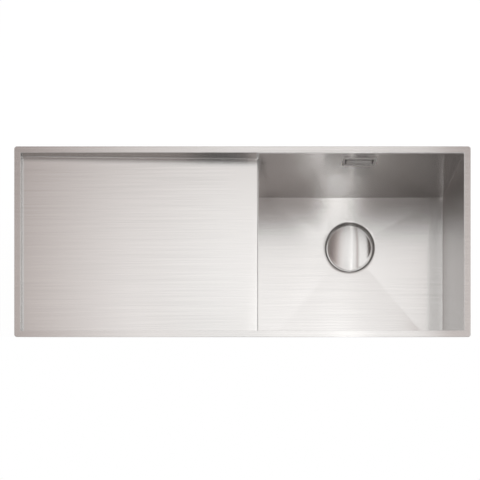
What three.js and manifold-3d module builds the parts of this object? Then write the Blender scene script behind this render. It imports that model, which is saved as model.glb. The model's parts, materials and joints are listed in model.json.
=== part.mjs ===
// Kitchen sink with drainboard, in millimetres, +Z up.
// Origin: the centre of the worktop cut-out, on the worktop's top plane.
// +X points to the bowl's side and +Y to the back.

import * as THREE from 'three';
import { mergeVertices } from 'three/addons/utils/BufferGeometryUtils.js';
import Module from 'manifold-3d';

const wasm = await Module();
wasm.setup();

// ---------------------------------------------------------------- driving dimensions

const gap = 0.3;                 // left between pieces that touch

// rim and its seal
const sinkLength = 1030;
const sinkWidth = 430;
const rimWidth = 14;
const rimSheet = 1.2;
const rimCornerRadius = 6;
const sealThickness = 1.0;
const sealWidth = 6;
const sealInset = 1.5;

// shared by the pan and the bowl
const sheet = 1.0;
const cornerRadius = 1.5;        // upright folds, inside
const floorRadius = 1.5;         // folds between walls and floor, inside

// bowl
const bowlLength = 465.5;
const bowlDepth = 200;           // rim's top face to the floor at its walls
const floorFall = 7;             // further fall of the floor to the waste
const drainFromBack = 123.6;
const recessRadius = 61.5;
const recessDepth = 4;
const wasteHoleRadius = 45;

// drainboard
const panDepthFar = 16.5;        // rim's top face to the pan's floor at its far end
const panDepthNear = 26;         // the same at the bowl
const edgeRadius = 2.5;          // outside bend of the edge over the bowl
const edgeLip = 12;              // depth of the turned-down edge

// waste
const flangeRadius = 57.5;
const flangeCupRadius = 43;
const flangeCupDepth = 36;
const flangeSheet = 1.0;
const flangeShoulder = 3.5;      // drop and run of the cone between lip and cup
const capRadius = 55.5;
const capRise = 14.7;            // of the dome over its edge
const capSheet = 1.2;
const capLip = 1.6;              // height of the cap's upright edge
const capRings = [1, 0.85, 0.7, 0.52, 0.33];  // places of the dome's rings, as shares of its radius
const basketClearance = 0.4;
const basketSheet = 1.0;
const basketFloorLift = 7;       // basket floor over the cup's floor
const postRadius = 4;
const postProud = 11;            // post's top over the flange's lip, to be gripped without the cap
const basketCone = 3.5;          // basket wall inside its rim
const flangeHoles = { radius: 3.2, circles: [[12, 31], [6, 17]] };   // each circle's count and radius
const basketHoles = { radius: 2.5, circles: [[14, 27], [8, 16]] };
const basketSlots = 12;
const slotWidth = 3.2;
const screwRadius = 3;
const wasteWall = 2.5;
const outletRadius = 23.9;
const outletBore = 20;
const outletDrop = 58;           // outlet end under the cup's floor
const rubberThickness = 3;
const bossWall = 3.5;            // round the centre screw
const bossLength = 24;
const spiderRib = 2.5;           // thickness of the three ribs that carry the boss
const funnelLength = 18;

// overflow
const overflowDepth = 36.5;      // rim's top face to the overflow's middle
const bezelLength = 76;
const bezelHeight = 30;
const bezelThickness = 1.5;
const overflowHoleLength = 68;
const overflowHoleHeight = 22;
const collarWall = 1.2;
const coverMargin = 3.2;         // water gap round the cover plate
const boxLength = 84;
const boxHeight = 36;
const boxDepth = 22;
const boxWall = 2;
const boxRadius = 5;
const boxChamfer = 4;            // round the box's back
const overflowSeal = 1.5;        // thickness of the seal between wall and box
const bezelRadius = 2;
const barWidth = 8;              // bar across the collar, which the screw draws on
const barDepth = 8;              // its back face behind the bowl's wall
const barSheet = 2;
const overflowScrewRadius = 2;
const overflowScrewHole = 2.8;
const spigotLength = 24;

// overflow hose
const hoseRadius = 9.6;          // between the ribs
const hoseRibRadius = 11.5;
const hoseBore = 9;
const hoseCuff = 10.7;           // smooth ends, and the overflow's spigot
const hoseBend = 45;
const hosePitch = 5;
const hoseFromWall = 15;         // hose axis to the bowl's back wall
const spigotDrop = 26;           // waste spigot's axis under the recess
const spigotReach = 68;          // waste spigot's end from the waste axis
const nutWall = 3;
const nutGrips = 12;             // ribs to grip a hose nut by
const nutHeight = 18;

// clamps
const clampXs = [-440, -60, 420];
const clampAxis = 3.9;           // screw axis to the wall
const clampScrewRadius = 1.7;
const clampBore = 2.0;
const clampTop = -3;
const clampShelf = -16;
const clampFoot = -46;
const clampSheet = 1.0;
const backPlateLength = 22;
const shelfLength = 12;
const shelfSheet = 1.2;
const clawLength = 30;
const clawWidth = 4.8;
const clawThickness = 2.5;
const clawEye = 3.1;             // outside radius of the eye on the screw
const clawTooth = 3;
const nutSide = 6.2;
const nutThickness = 3.2;

// stiffeners and pads
const stiffenerXs = [-385, -115];
const stiffenerLength = 380;
const stiffenerHeight = 14;
const stiffenerCrown = 26;
const stiffenerFoot = 10;
const stiffenerLean = 3;         // how far a web leans in from the crown to the foot
const stiffenerToPad = 12;
const padThickness = 2;
const padCorner = 8;
const panPadMargin = 60;         // to the long walls
const bottomPadLength = 140;
const bottomPadMargin = 45;      // to the front wall
const bottomPadToRecess = 40;
const wallPadMarginX = 83;       // front pad's ends to the bowl's walls
const wallPadMarginY = 71;       // side pads' ends to the bowl's walls
const wallPadRise = 30;          // pads' lower edges over the floor
const wallPadToClamps = 15;

// ---------------------------------------------------------------- levels and places

const rimBottom = sealThickness + gap;
const rimTop = rimBottom + rimSheet;
const wallTop = rimBottom - gap;
const halfLength = sinkLength / 2 - rimWidth;
const halfWidth = sinkWidth / 2 - rimWidth;
const bowlLeft = halfLength - bowlLength;
const bowlMiddle = halfLength - bowlLength / 2;
const floorLevel = rimTop - bowlDepth;
const apexLevel = floorLevel - floorFall;
const recessLevel = apexLevel - recessDepth;
const drain = new THREE.Vector3(bowlMiddle, halfWidth - drainFromBack, recessLevel);
const lipBottom = recessLevel + gap + sealThickness + gap;
const lipTop = lipBottom + flangeSheet;
const cupFloor = lipTop - flangeCupDepth;
const cupInside = flangeCupRadius - flangeSheet;
const basketRim = cupInside - basketClearance;
const basketRadius = basketRim - basketCone;
const basketFloor = cupFloor + basketFloorLift;
const postTop = lipTop + postProud;
const panFarLevel = rimTop - panDepthFar;
const panNearLevel = rimTop - panDepthNear;
const panSlope = (panNearLevel - panFarLevel) / (bowlLeft + halfLength);
const panFloor = (x) => panFarLevel + panSlope * (x + halfLength);
const edgeLevel = panFloor(bowlLeft - edgeRadius);
const ledgeLevel = edgeLevel - edgeLip - gap;
const wallOutside = halfWidth + sheet;
const overflowLevel = rimTop - overflowDepth;
const hoseY = wallOutside + hoseFromWall;
const spigotEnd = overflowLevel - boxHeight / 2 - spigotLength;
const wasteSpigotLevel = recessLevel - spigotDrop;
const wasteSpigotEnd = drain.y + spigotReach;

// ---------------------------------------------------------------- shaping helpers

const object = new THREE.Group();

const steel = { color: 0xc9c4c1, roughness: 0.3, metalness: 1 };
const zinc = { color: 0xb9bcc0, roughness: 0.4, metalness: 1 };
const plastic = { color: 0x3b3d40, roughness: 0.5, metalness: 0 };
const rubber = { color: 0x1d1d1f, roughness: 0.85, metalness: 0 };
const damping = { color: 0x6a6b6d, roughness: 0.9, metalness: 0 };

// Adds one named piece with its own material.
function piece(name, geometry, finish, parent = object) {
  const mesh = new THREE.Mesh(geometry, new THREE.MeshStandardMaterial(finish));
  mesh.name = name;
  parent.add(mesh);
  return mesh;
}

// Turns a closed geometry into a solid that can be joined and cut.
function solid(geometry) {
  const bare = geometry.clone();
  bare.deleteAttribute('normal');
  bare.deleteAttribute('uv');
  const merged = mergeVertices(bare, 1e-4);
  return new wasm.Manifold(new wasm.Mesh({
    numProp: 3,
    vertProperties: new Float32Array(merged.attributes.position.array),
    triVerts: new Uint32Array(merged.index.array),
  }));
}

// Turns a solid back into a geometry.
function geometryOf(manifold) {
  const mesh = manifold.getMesh();
  const geometry = new THREE.BufferGeometry();
  geometry.setAttribute('position', new THREE.BufferAttribute(mesh.vertProperties, 3));
  geometry.setIndex(new THREE.BufferAttribute(mesh.triVerts, 1));
  geometry.computeVertexNormals();
  return geometry;
}

// A round bar along the axis of a lathe, between two levels.
function rod(radius, from, to, segments) {
  return turned([[0, from], [radius, from], [radius, to], [0, to]], segments);
}

const join = (first, ...rest) => rest.reduce((sum, next) => sum.add(solid(next)), solid(first));
const cut = (manifold, ...tools) => tools.reduce((left, tool) => left.subtract(solid(tool)), manifold);

// A box between two corners.
function block(x0, x1, y0, y1, z0, z1) {
  const box = new THREE.BoxGeometry(x1 - x0, y1 - y0, z1 - z0);
  return box.translate((x0 + x1) / 2, (y0 + y1) / 2, (z0 + z1) / 2);
}

// A rectangle with round corners, as a shape or, with points, as a hole.
function roundRect(x0, x1, y0, y1, r, path = new THREE.Shape()) {
  path.moveTo(x0 + r, y0);
  path.lineTo(x1 - r, y0);
  path.absarc(x1 - r, y0 + r, r, -Math.PI / 2, 0);
  path.lineTo(x1, y1 - r);
  path.absarc(x1 - r, y1 - r, r, 0, Math.PI / 2);
  path.lineTo(x0 + r, y1);
  path.absarc(x0 + r, y1 - r, r, Math.PI / 2, Math.PI);
  path.lineTo(x0, y0 + r);
  path.absarc(x0 + r, y0 + r, r, Math.PI, 1.5 * Math.PI);
  return path;
}

// A flat outline made solid between two levels.
function plate(shape, z0, z1, curveSegments = 4) {
  const options = { depth: z1 - z0, bevelEnabled: false, curveSegments };
  return new THREE.ExtrudeGeometry(shape, options).translate(0, 0, z0);
}

// A closed outline of [radius, level] points turned about an upright axis.
function turned(profile, segments = 40) {
  const points = profile.map(([r, z]) => new THREE.Vector2(r, z));
  if (profile[0][0] > 0) points.push(points[0].clone());
  const lathe = new THREE.LatheGeometry(points, segments).rotateX(Math.PI / 2);
  return THREE.ShapeUtils.area(points) > 0 ? lathe : flipped(lathe);
}

// The same geometry with its faces turned over.
function flipped(geometry) {
  const index = geometry.index.array;
  for (let i = 0; i < index.length; i += 3) {
    [index[i], index[i + 1]] = [index[i + 1], index[i]];
  }
  return geometry;
}

// A ring of points round a rectangle with round corners.
function rectRing(x0, x1, y0, y1, r, level, steps = 4) {
  const centres = [[x1 - r, y0 + r, -0.5], [x1 - r, y1 - r, 0], [x0 + r, y1 - r, 0.5], [x0 + r, y0 + r, 1]];
  return centres.flatMap(([cx, cy, start]) => Array.from({ length: steps + 1 }, (_, i) => {
    const angle = (start + 0.5 * i / steps) * Math.PI;
    const x = cx + r * Math.cos(angle);
    const y = cy + r * Math.sin(angle);
    return [x, y, typeof level === 'function' ? level(x, y) : level];
  }));
}

// A closed skin over rings of equal count, from the lowest ring up to the highest.
// Each end is closed by a fan from its middle point.
function loft(rings, bottomPoint, topPoint) {
  const count = rings[0].length;
  const positions = rings.flat(2);
  const index = [];
  for (let ring = 0; ring + 1 < rings.length; ring += 1) {
    for (let i = 0; i < count; i += 1) {
      const a = ring * count + i;
      const b = ring * count + (i + 1) % count;
      index.push(a, b, b + count, a, b + count, a + count);
    }
  }
  const bottom = positions.length / 3;
  positions.push(...bottomPoint, ...topPoint);
  const last = (rings.length - 1) * count;
  for (let i = 0; i < count; i += 1) {
    const next = (i + 1) % count;
    index.push(bottom, next, i);
    index.push(bottom + 1, last + i, last + next);
  }
  const geometry = new THREE.BufferGeometry();
  geometry.setAttribute('position', new THREE.Float32BufferAttribute(positions, 3));
  geometry.setIndex(index);
  return geometry;
}

// The space inside a pressed tray: a floor at level(x, y), a fold of radius fold, upright walls.
function trayVoid(x0, x1, y0, y1, corner, fold, level, top, floorPoint) {
  const rings = [0, 1, 2, 3].map((step) => {
    const angle = step / 3 * Math.PI / 2;
    const inset = fold * (1 - Math.sin(angle));
    const rise = fold * (1 - Math.cos(angle));
    const r = Math.max(corner - inset, 0.2);
    return rectRing(x0 + inset, x1 - inset, y0 + inset, y1 - inset, r, (x) => level(x) + rise);
  });
  rings.push(rectRing(x0, x1, y0, y1, corner, top));
  return loft(rings, floorPoint, [(x0 + x1) / 2, (y0 + y1) / 2, top]);
}

// ---------------------------------------------------------------- rim

function makeRim() {
  const x = sinkLength / 2;
  const y = sinkWidth / 2;
  const shape = roundRect(-x, x, -y, y, rimCornerRadius);
  const opening = new THREE.Path();
  shape.holes.push(roundRect(-halfLength, halfLength, -halfWidth, halfWidth, cornerRadius, opening));
  piece('rim_frame', plate(shape, rimBottom, rimTop), steel);

  const outer = { x: x - sealInset, y: y - sealInset, r: rimCornerRadius - sealInset };
  const inner = { x: outer.x - sealWidth, y: outer.y - sealWidth };
  const strip = roundRect(-outer.x, outer.x, -outer.y, outer.y, outer.r);
  strip.holes.push(roundRect(-inner.x, inner.x, -inner.y, inner.y, cornerRadius, new THREE.Path()));
  piece('rim_seal', plate(strip, 0, sealThickness), rubber);
}

// ---------------------------------------------------------------- drainboard

function makeDrainboard() {
  const x0 = -halfLength;
  const beyond = bowlLeft + 40;
  const fold = floorRadius;
  const middle = (x0 + beyond) / 2;
  const under = (x) => panFloor(x) - sheet;
  const outside = trayVoid(x0 - sheet, beyond + 20, -wallOutside, wallOutside, cornerRadius + sheet,
    fold + sheet, under, wallTop, [middle + 10, 0, under(middle + 10)]);
  const inside = trayVoid(x0, beyond, -halfWidth, halfWidth, cornerRadius,
    fold, panFloor, wallTop + 1, [middle, 0, panFloor(middle)]);
  const deep = panNearLevel - 30;
  const tray = cut(solid(outside), inside,
    block(bowlLeft - gap, beyond + 60, -sinkWidth, sinkWidth, deep, rimTop),
    block(bowlLeft - edgeRadius, beyond, -halfWidth, halfWidth, deep, rimTop));

  // The edge over the bowl: the floor sheet bends down into a lip.
  const edge = new THREE.Shape();
  const bendX = bowlLeft - edgeRadius;
  const inner = edgeRadius - sheet;
  edge.moveTo(bendX - 1, edgeLevel);
  edge.lineTo(bendX, edgeLevel);
  edge.absarc(bendX, edgeLevel - edgeRadius, edgeRadius, Math.PI / 2, 0, true);
  edge.lineTo(bowlLeft, edgeLevel - edgeLip);
  edge.lineTo(bowlLeft - sheet, edgeLevel - edgeLip);
  edge.lineTo(bowlLeft - sheet, edgeLevel - edgeRadius);
  edge.absarc(bendX, edgeLevel - edgeRadius, inner, 0, Math.PI / 2);
  edge.lineTo(bendX - 1, edgeLevel - sheet);
  const width = 2 * (halfWidth - gap);
  const lip = plate(edge, -width / 2, width / 2, 6).rotateX(Math.PI / 2);
  piece('drainboard_pan', geometryOf(tray.add(solid(lip))), steel);
}

// ---------------------------------------------------------------- bowl

// The bowl's space or, grown by the sheet, its outside: folded corners and a floor of four planes
// that fall to one point over the waste, with the round recess pressed into them.
function bowlForm(grow, top) {
  const fold = floorRadius + grow;
  const x0 = bowlLeft - grow;
  const x1 = halfLength + grow;
  const y = halfWidth + grow;
  const low = floorLevel - grow;
  const rings = [0, 1, 2, 3].map((step) => {
    const angle = step / 3 * Math.PI / 2;
    const inset = fold * (1 - Math.sin(angle));
    const rise = fold * (1 - Math.cos(angle));
    const r = Math.max(cornerRadius + grow - inset, 0.2);
    return rectRing(x0 + inset, x1 - inset, inset - y, y - inset, r, low + rise);
  });
  rings.push(rectRing(x0, x1, -y, y, cornerRadius + grow, top));
  const basin = loft(rings, [drain.x, drain.y, apexLevel - grow], [bowlMiddle, 0, top]);
  const wall = recessDepth + floorFall;
  const recess = turned([
    [0, recessLevel - grow],
    [recessRadius - 3 + grow, recessLevel - grow],
    [recessRadius + grow, recessLevel + 3],
    [recessRadius + grow * 0.6, recessLevel + wall],
    [0, recessLevel + wall],
  ], 48).translate(drain.x, drain.y, 0);
  const limit = block(x0, x1, -y, y, recessLevel - 10, apexLevel + floorFall * 0.62 - grow);
  return solid(basin).add(solid(recess).intersect(solid(limit)));
}

function makeBowl() {
  const hole = rod(wasteHoleRadius, recessLevel - 9, recessLevel + 9, 48).translate(drain.x, drain.y, 0);
  const overflow = roundRect(-overflowHoleLength / 2, overflowHoleLength / 2,
    -overflowHoleHeight / 2, overflowHoleHeight / 2, 2);
  const slot = plate(overflow, -5, 5).rotateX(Math.PI / 2).translate(bowlMiddle, halfWidth, overflowLevel);
  const lower = bowlForm(sheet, ledgeLevel).subtract(bowlForm(0, ledgeLevel + 1));

  // Over the drainboard's edge the walls are a band with its open side to the drainboard.
  const band = new THREE.Shape();
  const outside = halfLength + sheet;
  const r = cornerRadius;
  band.moveTo(bowlLeft, -wallOutside);
  band.lineTo(outside - r - sheet, -wallOutside);
  band.absarc(outside - r - sheet, r - halfWidth, r + sheet, -Math.PI / 2, 0);
  band.lineTo(outside, halfWidth - r);
  band.absarc(halfLength - r, halfWidth - r, r + sheet, 0, Math.PI / 2);
  band.lineTo(bowlLeft, wallOutside);
  band.lineTo(bowlLeft, halfWidth);
  band.lineTo(halfLength - r, halfWidth);
  band.absarc(halfLength - r, halfWidth - r, r, Math.PI / 2, 0, true);
  band.lineTo(halfLength, r - halfWidth);
  band.absarc(halfLength - r, r - halfWidth, r, 0, -Math.PI / 2, true);
  band.lineTo(bowlLeft, -halfWidth);
  const upper = solid(plate(band, ledgeLevel, wallTop));
  piece('bowl_shell', geometryOf(cut(lower.add(upper), hole, slot)), steel);
}

// ---------------------------------------------------------------- stiffeners and pads

// A hat section under the sloping pan, in line with its floor.
function makeStiffener(name, x) {
  const crown = stiffenerCrown / 2;
  const foot = crown + stiffenerFoot;
  const low = crown - stiffenerLean;
  const h = stiffenerHeight;
  const t = sheet;
  const web = 0.7 * sheet;       // a web's thickness, measured level
  const outline = [
    [-foot, 0], [-crown, 0], [-low, t - h], [low, t - h], [crown, 0], [foot, 0],
    [foot, -t], [crown + web, -t], [low + web, -h], [-low - web, -h], [-crown - web, -t], [-foot, -t],
  ];
  const shape = new THREE.Shape(outline.map(([u, v]) => new THREE.Vector2(u, v)));
  const bar = plate(shape, -stiffenerLength / 2, stiffenerLength / 2).rotateX(Math.PI / 2);
  const mesh = piece(name, bar, zinc);
  mesh.rotation.y = -Math.atan(panSlope);
  mesh.position.set(x, 0, panFloor(x) - sheet - gap);
}

// A sound-deadening pad that follows a sloping floor between two corners.
function floorPad(name, x0, x1, y0, y1, level) {
  const top = (x, y) => level(x, y) - gap;
  const low = (x, y) => top(x, y) - padThickness;
  const x = (x0 + x1) / 2;
  const y = (y0 + y1) / 2;
  const rings = [low, top].map((face) => rectRing(x0, x1, y0, y1, padCorner, face));
  piece(name, loft(rings, [x, y, low(x, y)], [x, y, top(x, y)]), damping);
}

function makeUnderside() {
  makeStiffener('stiffener_left', stiffenerXs[0]);
  makeStiffener('stiffener_right', stiffenerXs[1]);
  const reach = stiffenerCrown / 2 + stiffenerFoot + stiffenerToPad;
  const underPan = (x) => panFloor(x) - sheet;
  const panPadHalf = halfWidth - panPadMargin;
  const [padLeft, padRight] = [stiffenerXs[0] + reach, stiffenerXs[1] - reach];
  floorPad('drainboard_pad', padLeft, padRight, -panPadHalf, panPadHalf, underPan);

  // Under the bowl, the front plane of the floor.
  const frontPlane = (x, y) => floorLevel - sheet - floorFall * (y + halfWidth) / (halfWidth + drain.y);
  const bottomHalf = bottomPadLength / 2;
  floorPad('bowl_bottom_pad', drain.x - bottomHalf, drain.x + bottomHalf,
    bottomPadMargin - halfWidth, drain.y - recessRadius - bottomPadToRecess, frontPlane);

  // On the outside of the bowl's walls.
  const z0 = floorLevel + wallPadRise;
  const z1 = clampFoot - wallPadToClamps;
  const frontHalf = bowlLength / 2 - wallPadMarginX;
  const sideHalf = halfWidth - wallPadMarginY;
  const upright = (half) => {
    const shape = roundRect(-half, half, z0, z1, padCorner);
    return plate(shape, 0, padThickness).rotateX(Math.PI / 2);
  };
  const near = -wallOutside - gap;
  const right = halfLength + sheet + gap;
  const left = bowlLeft - sheet - gap - padThickness;
  piece('bowl_front_pad', upright(frontHalf).translate(bowlMiddle, near, 0), damping);
  piece('bowl_right_pad', upright(sideHalf).rotateZ(Math.PI / 2).translate(right, 0, 0), damping);
  piece('bowl_left_pad', upright(sideHalf).rotateZ(Math.PI / 2).translate(left, 0, 0), damping);
}

// ---------------------------------------------------------------- waste

// Round holes on circles, as tools that cut straight down through a sheet at a level.
function drills({ radius, circles }, level) {
  return circles.flatMap(([count, circle]) => Array.from({ length: count }, (_, i) => {
    const angle = 2 * Math.PI * i / count;
    const drill = rod(radius, level - 3, level + 3, 8);
    return drill.translate(circle * Math.cos(angle), circle * Math.sin(angle), 0);
  }));
}

function makeWaste() {
  const waste = new THREE.Group();
  waste.position.set(drain.x, drain.y, 0);
  object.add(waste);
  const underFloor = cupFloor - flangeSheet;
  const screwHole = screwRadius + basketClearance;

  piece('flange_seal', turned([
    [wasteHoleRadius + 1.5, recessLevel + gap], [recessRadius - 5.5, recessLevel + gap],
    [recessRadius - 5.5, recessLevel + gap + sealThickness],
    [wasteHoleRadius + 1.5, recessLevel + gap + sealThickness],
  ]), rubber, waste);

  const flange = turned([
    [screwHole, underFloor], [flangeCupRadius - 2, underFloor], [flangeCupRadius, underFloor + 2],
    [flangeCupRadius, lipBottom - flangeShoulder], [flangeCupRadius + flangeShoulder - 1, lipBottom],
    [flangeRadius - 0.5, lipBottom], [flangeRadius, lipBottom + 0.5], [flangeRadius - 0.5, lipTop],
    [cupInside + flangeShoulder, lipTop], [cupInside, lipTop - flangeShoulder],
    [cupInside, cupFloor + 1.4], [cupInside - 1.4, cupFloor], [screwHole, cupFloor],
  ], 48);
  const drained = cut(solid(flange), ...drills(flangeHoles, cupFloor));
  piece('strainer_flange', geometryOf(drained), steel, waste);

  // The basket hangs by its coned rim on the flange's shoulder.
  const rimLevel = lipTop - gap;
  const coneLevel = rimLevel - flangeShoulder;
  const basketInside = basketRadius - basketSheet;
  const basket = turned([
    [0, basketFloor - basketSheet], [basketRadius - 3, basketFloor - basketSheet],
    [basketRadius, basketFloor + 2], [basketRadius, coneLevel - 1], [basketRim, coneLevel],
    [basketRim + flangeShoulder - basketClearance, rimLevel - 0.4],
    [basketRim + flangeShoulder - 1, rimLevel],
    [basketInside + 1, coneLevel + 1.5], [basketInside, coneLevel - 1], [basketInside, basketFloor + 2.4],
    [basketInside - 2.4, basketFloor], [postRadius, basketFloor], [postRadius, postTop - 0.8],
    [postRadius - 0.8, postTop], [0, postTop],
  ]);
  const slots = Array.from({ length: basketSlots }, (_, i) => {
    const half = slotWidth / 2;
    const slot = block(basketRadius - 6, basketRadius + 3, -half, half, basketFloor + 8, rimLevel - 10);
    return slot.rotateZ(2 * Math.PI * i / basketSlots);
  });
  piece('strainer_basket', geometryOf(cut(solid(basket), ...slots, ...drills(basketHoles, basketFloor))),
    steel, waste);

  // The stopper ring under the basket's wall, below its slots.
  piece('basket_seal', turned([
    [basketRadius + gap, basketFloor + 3], [cupInside - gap - 0.6, basketFloor + 3.6],
    [cupInside - gap, basketFloor + 4.8], [cupInside - gap - 0.6, basketFloor + 6],
    [basketRadius + gap, basketFloor + 6.6],
  ]), rubber, waste);

  // The cover cap: a dome on the basket's post, clear of the lip all round.
  const capLevel = lipTop + gap;
  const edge = capLevel + capLip;
  const dome = (r) => edge + capRise * (1 - (r / capRadius) ** 2);
  const radii = capRings.map((share) => share * capRadius);
  const socket = postRadius + gap;
  const hub = socket + capLip;
  const crown = radii.map((r) => [r, dome(r)]);
  const under = radii.slice(1).reverse().map((r) => [r, dome(r) - capSheet]);
  piece('strainer_cap', turned([
    [0, postTop + gap], [socket, postTop + gap], [socket, capLevel], [hub, capLevel],
    [hub, dome(hub) - capSheet], ...under, [capRadius - capSheet, edge - 0.4],
    [capRadius - capSheet, capLevel], [capRadius, capLevel], ...crown, [0, dome(0)],
  ], 48), steel, waste);

  // The centre screw draws the flange and the body together through the floor.
  const bossTop = underFloor - gap;
  const bossBottom = bossTop - bossLength;
  const driveRadius = screwRadius - 1;
  const headRadius = 2 * screwRadius;
  piece('waste_screw', turned([
    [0, cupFloor + 1.6], [driveRadius, cupFloor + 1.6], [driveRadius, cupFloor + 4],
    [headRadius, cupFloor + 4],
    [headRadius, cupFloor + gap], [screwRadius, cupFloor + gap],
    [screwRadius, bossBottom], [0, bossBottom],
  ], 12), steel, waste);

  const sealTop = recessLevel - sheet - gap;
  const bodyTop = sealTop - rubberThickness - gap;
  piece('body_seal', turned([
    [wasteHoleRadius + 1, bodyTop + gap], [flangeRadius - 1.5, bodyTop + gap],
    [flangeRadius - 1.5, sealTop], [wasteHoleRadius + 1, sealTop],
  ]), rubber, waste);

  // The body: a collar under the sink, a funnel and the outlet, with a spider that holds the screw.
  const bodyInside = flangeCupRadius + 2;
  const bodyOuter = bodyInside + wasteWall;
  const outletEnd = cupFloor - outletDrop;
  const funnelTop = underFloor - 8;
  const funnelBottom = funnelTop - funnelLength;
  const collarLevel = bodyTop - rubberThickness;
  const shell = turned([
    [outletBore, outletEnd], [outletRadius, outletEnd], [outletRadius, funnelBottom],
    [bodyOuter, funnelTop], [bodyOuter, collarLevel], [flangeRadius, collarLevel],
    [flangeRadius, bodyTop], [bodyInside, bodyTop], [bodyInside, funnelTop + 1],
    [outletBore, funnelBottom - 1],
  ]);
  const boss = rod(screwRadius + bossWall, bossBottom, bossTop, 24);
  const ribs = [0, 1, 2].map((i) => {
    const rib = block(2, bodyOuter - 1, -spiderRib / 2, spiderRib / 2, bossTop - 16, bossTop - 6);
    return rib.rotateZ(2 * Math.PI * i / 3 - Math.PI / 2);
  });
  const outsideFunnel = turned([[outletBore, funnelBottom - 9], [flangeRadius, funnelBottom - 9],
    [flangeRadius, funnelTop], [bodyOuter - 0.5, funnelTop], [outletBore + 1, funnelBottom]]);
  const along = (radius, from, to) => {
    return rod(radius, from, to, 24).rotateX(-Math.PI / 2).translate(0, 0, wasteSpigotLevel);
  };
  const screwBore = rod(screwRadius + gap, bossBottom - 1, bossTop + 1, 16);
  const inside = rod(bodyInside, funnelTop + 1, bodyTop + 1, 40);
  const webs = cut(join(...ribs, boss), outsideFunnel);
  const spigot = cut(solid(along(hoseRibRadius, bodyOuter - 1, spigotReach)), inside);
  const bore = along(hoseBore, flangeCupRadius, spigotReach + 1);
  const bored = cut(solid(shell).add(spigot), bore).add(webs);
  piece('waste_body', geometryOf(cut(bored, screwBore)), plastic, waste);
}

// ---------------------------------------------------------------- overflow

function makeOverflow() {
  const overflow = new THREE.Group();
  overflow.position.set(bowlMiddle, 0, overflowLevel);
  object.add(overflow);
  const centred = (w, h, r, path) => roundRect(-w / 2, w / 2, -h / 2, h / 2, r, path);
  // A flat outline seen from the front, made solid from the front distance y0 to the back y1.
  const facing = (shape, y0, y1) => plate(shape, -y1, -y0).rotateX(Math.PI / 2);
  // A round bar that runs from the front distance y0 to the back y1.
  const pin = (radius, y0, y1) => rod(radius, y0, y1, 16).rotateX(-Math.PI / 2);

  const collarLength = overflowHoleLength - 2 * gap;
  const collarHeight = overflowHoleHeight - 2 * gap;
  const openLength = collarLength - 2 * collarWall;
  const openHeight = collarHeight - 2 * collarWall;
  const opening = () => centred(openLength, openHeight, 1, new THREE.Path());
  const frame = centred(bezelLength, bezelHeight, bezelRadius);
  frame.holes.push(opening());
  const collar = centred(collarLength, collarHeight, bezelRadius - gap);
  collar.holes.push(opening());
  const front = halfWidth - gap - bezelThickness;
  const barBack = halfWidth + barDepth;
  const barFront = barBack - barSheet;
  const bar = facing(centred(barWidth, openHeight + 1, 0.5), barFront, barBack);
  const flat = facing(frame, front, front + bezelThickness);
  const tube = facing(collar, front + bezelThickness / 2, barBack);
  const bezel = cut(join(flat, tube, bar), pin(overflowScrewHole, barFront - 1, barBack + 1));
  piece('overflow_bezel', geometryOf(bezel), steel, overflow);

  const coverShape = centred(openLength - 2 * coverMargin, openHeight - 2 * coverMargin, 1);
  const stem = pin(barWidth / 2, front + 1, barFront - gap);
  const stemBore = pin(overflowScrewRadius + gap, halfWidth + 1, barBack);
  const cover = cut(join(facing(coverShape, front, front + bezelThickness), stem), stemBore);
  piece('overflow_cover', geometryOf(cover), steel, overflow);

  const sealShape = centred(boxLength, boxHeight, boxRadius);
  sealShape.holes.push(centred(overflowHoleLength + 3, overflowHoleHeight + 3, 2, new THREE.Path()));
  const sealBack = wallOutside + gap + overflowSeal;
  piece('overflow_seal', facing(sealShape, wallOutside + gap, sealBack), rubber, overflow);

  const boxFront = sealBack + gap;
  const boxBack = boxFront + boxDepth;
  // A block that is inset by margin all round, with its back edges chamfered.
  const chamfered = (margin, y0, y1) => {
    const w = boxLength - 2 * margin;
    const h = boxHeight - 2 * margin;
    const r = boxRadius - margin;
    const full = facing(centred(w, h, r), y0, y1 - boxChamfer);
    const back = facing(centred(w - 2 * boxChamfer, h - 2 * boxChamfer, r / 2), y0, y1);
    return join(full, back).hull();
  };
  const low = -boxHeight / 2;
  const upright = (radius, from, to) => rod(radius, from, to, 24).translate(0, hoseY, 0);
  const spigotTop = low + boxChamfer + 1;
  const spigot = upright(hoseCuff, low - spigotLength, spigotTop);
  const spigotBore = upright(hoseBore - 1, low - spigotLength - 1, spigotTop);
  const hollow = chamfered(boxWall, boxFront - 1, boxBack - boxWall);
  const body = chamfered(0, boxFront, boxBack).add(solid(spigot)).subtract(hollow);
  const housing = cut(body, spigotBore, pin(overflowScrewHole, boxBack - 10, boxBack + 1));
  piece('overflow_box', geometryOf(housing), plastic, overflow);

  const headLevel = boxBack + gap;
  const r = overflowScrewRadius;
  piece('overflow_screw', turned([
    [0, halfWidth + 2], [r, halfWidth + 2], [r, headLevel], [2.1 * r, headLevel],
    [2.1 * r, headLevel + 0.8 * r], [1.5 * r, headLevel + 1.2 * r], [0, headLevel + 1.2 * r],
  ], 16).rotateX(-Math.PI / 2), steel, overflow);
}

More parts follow.
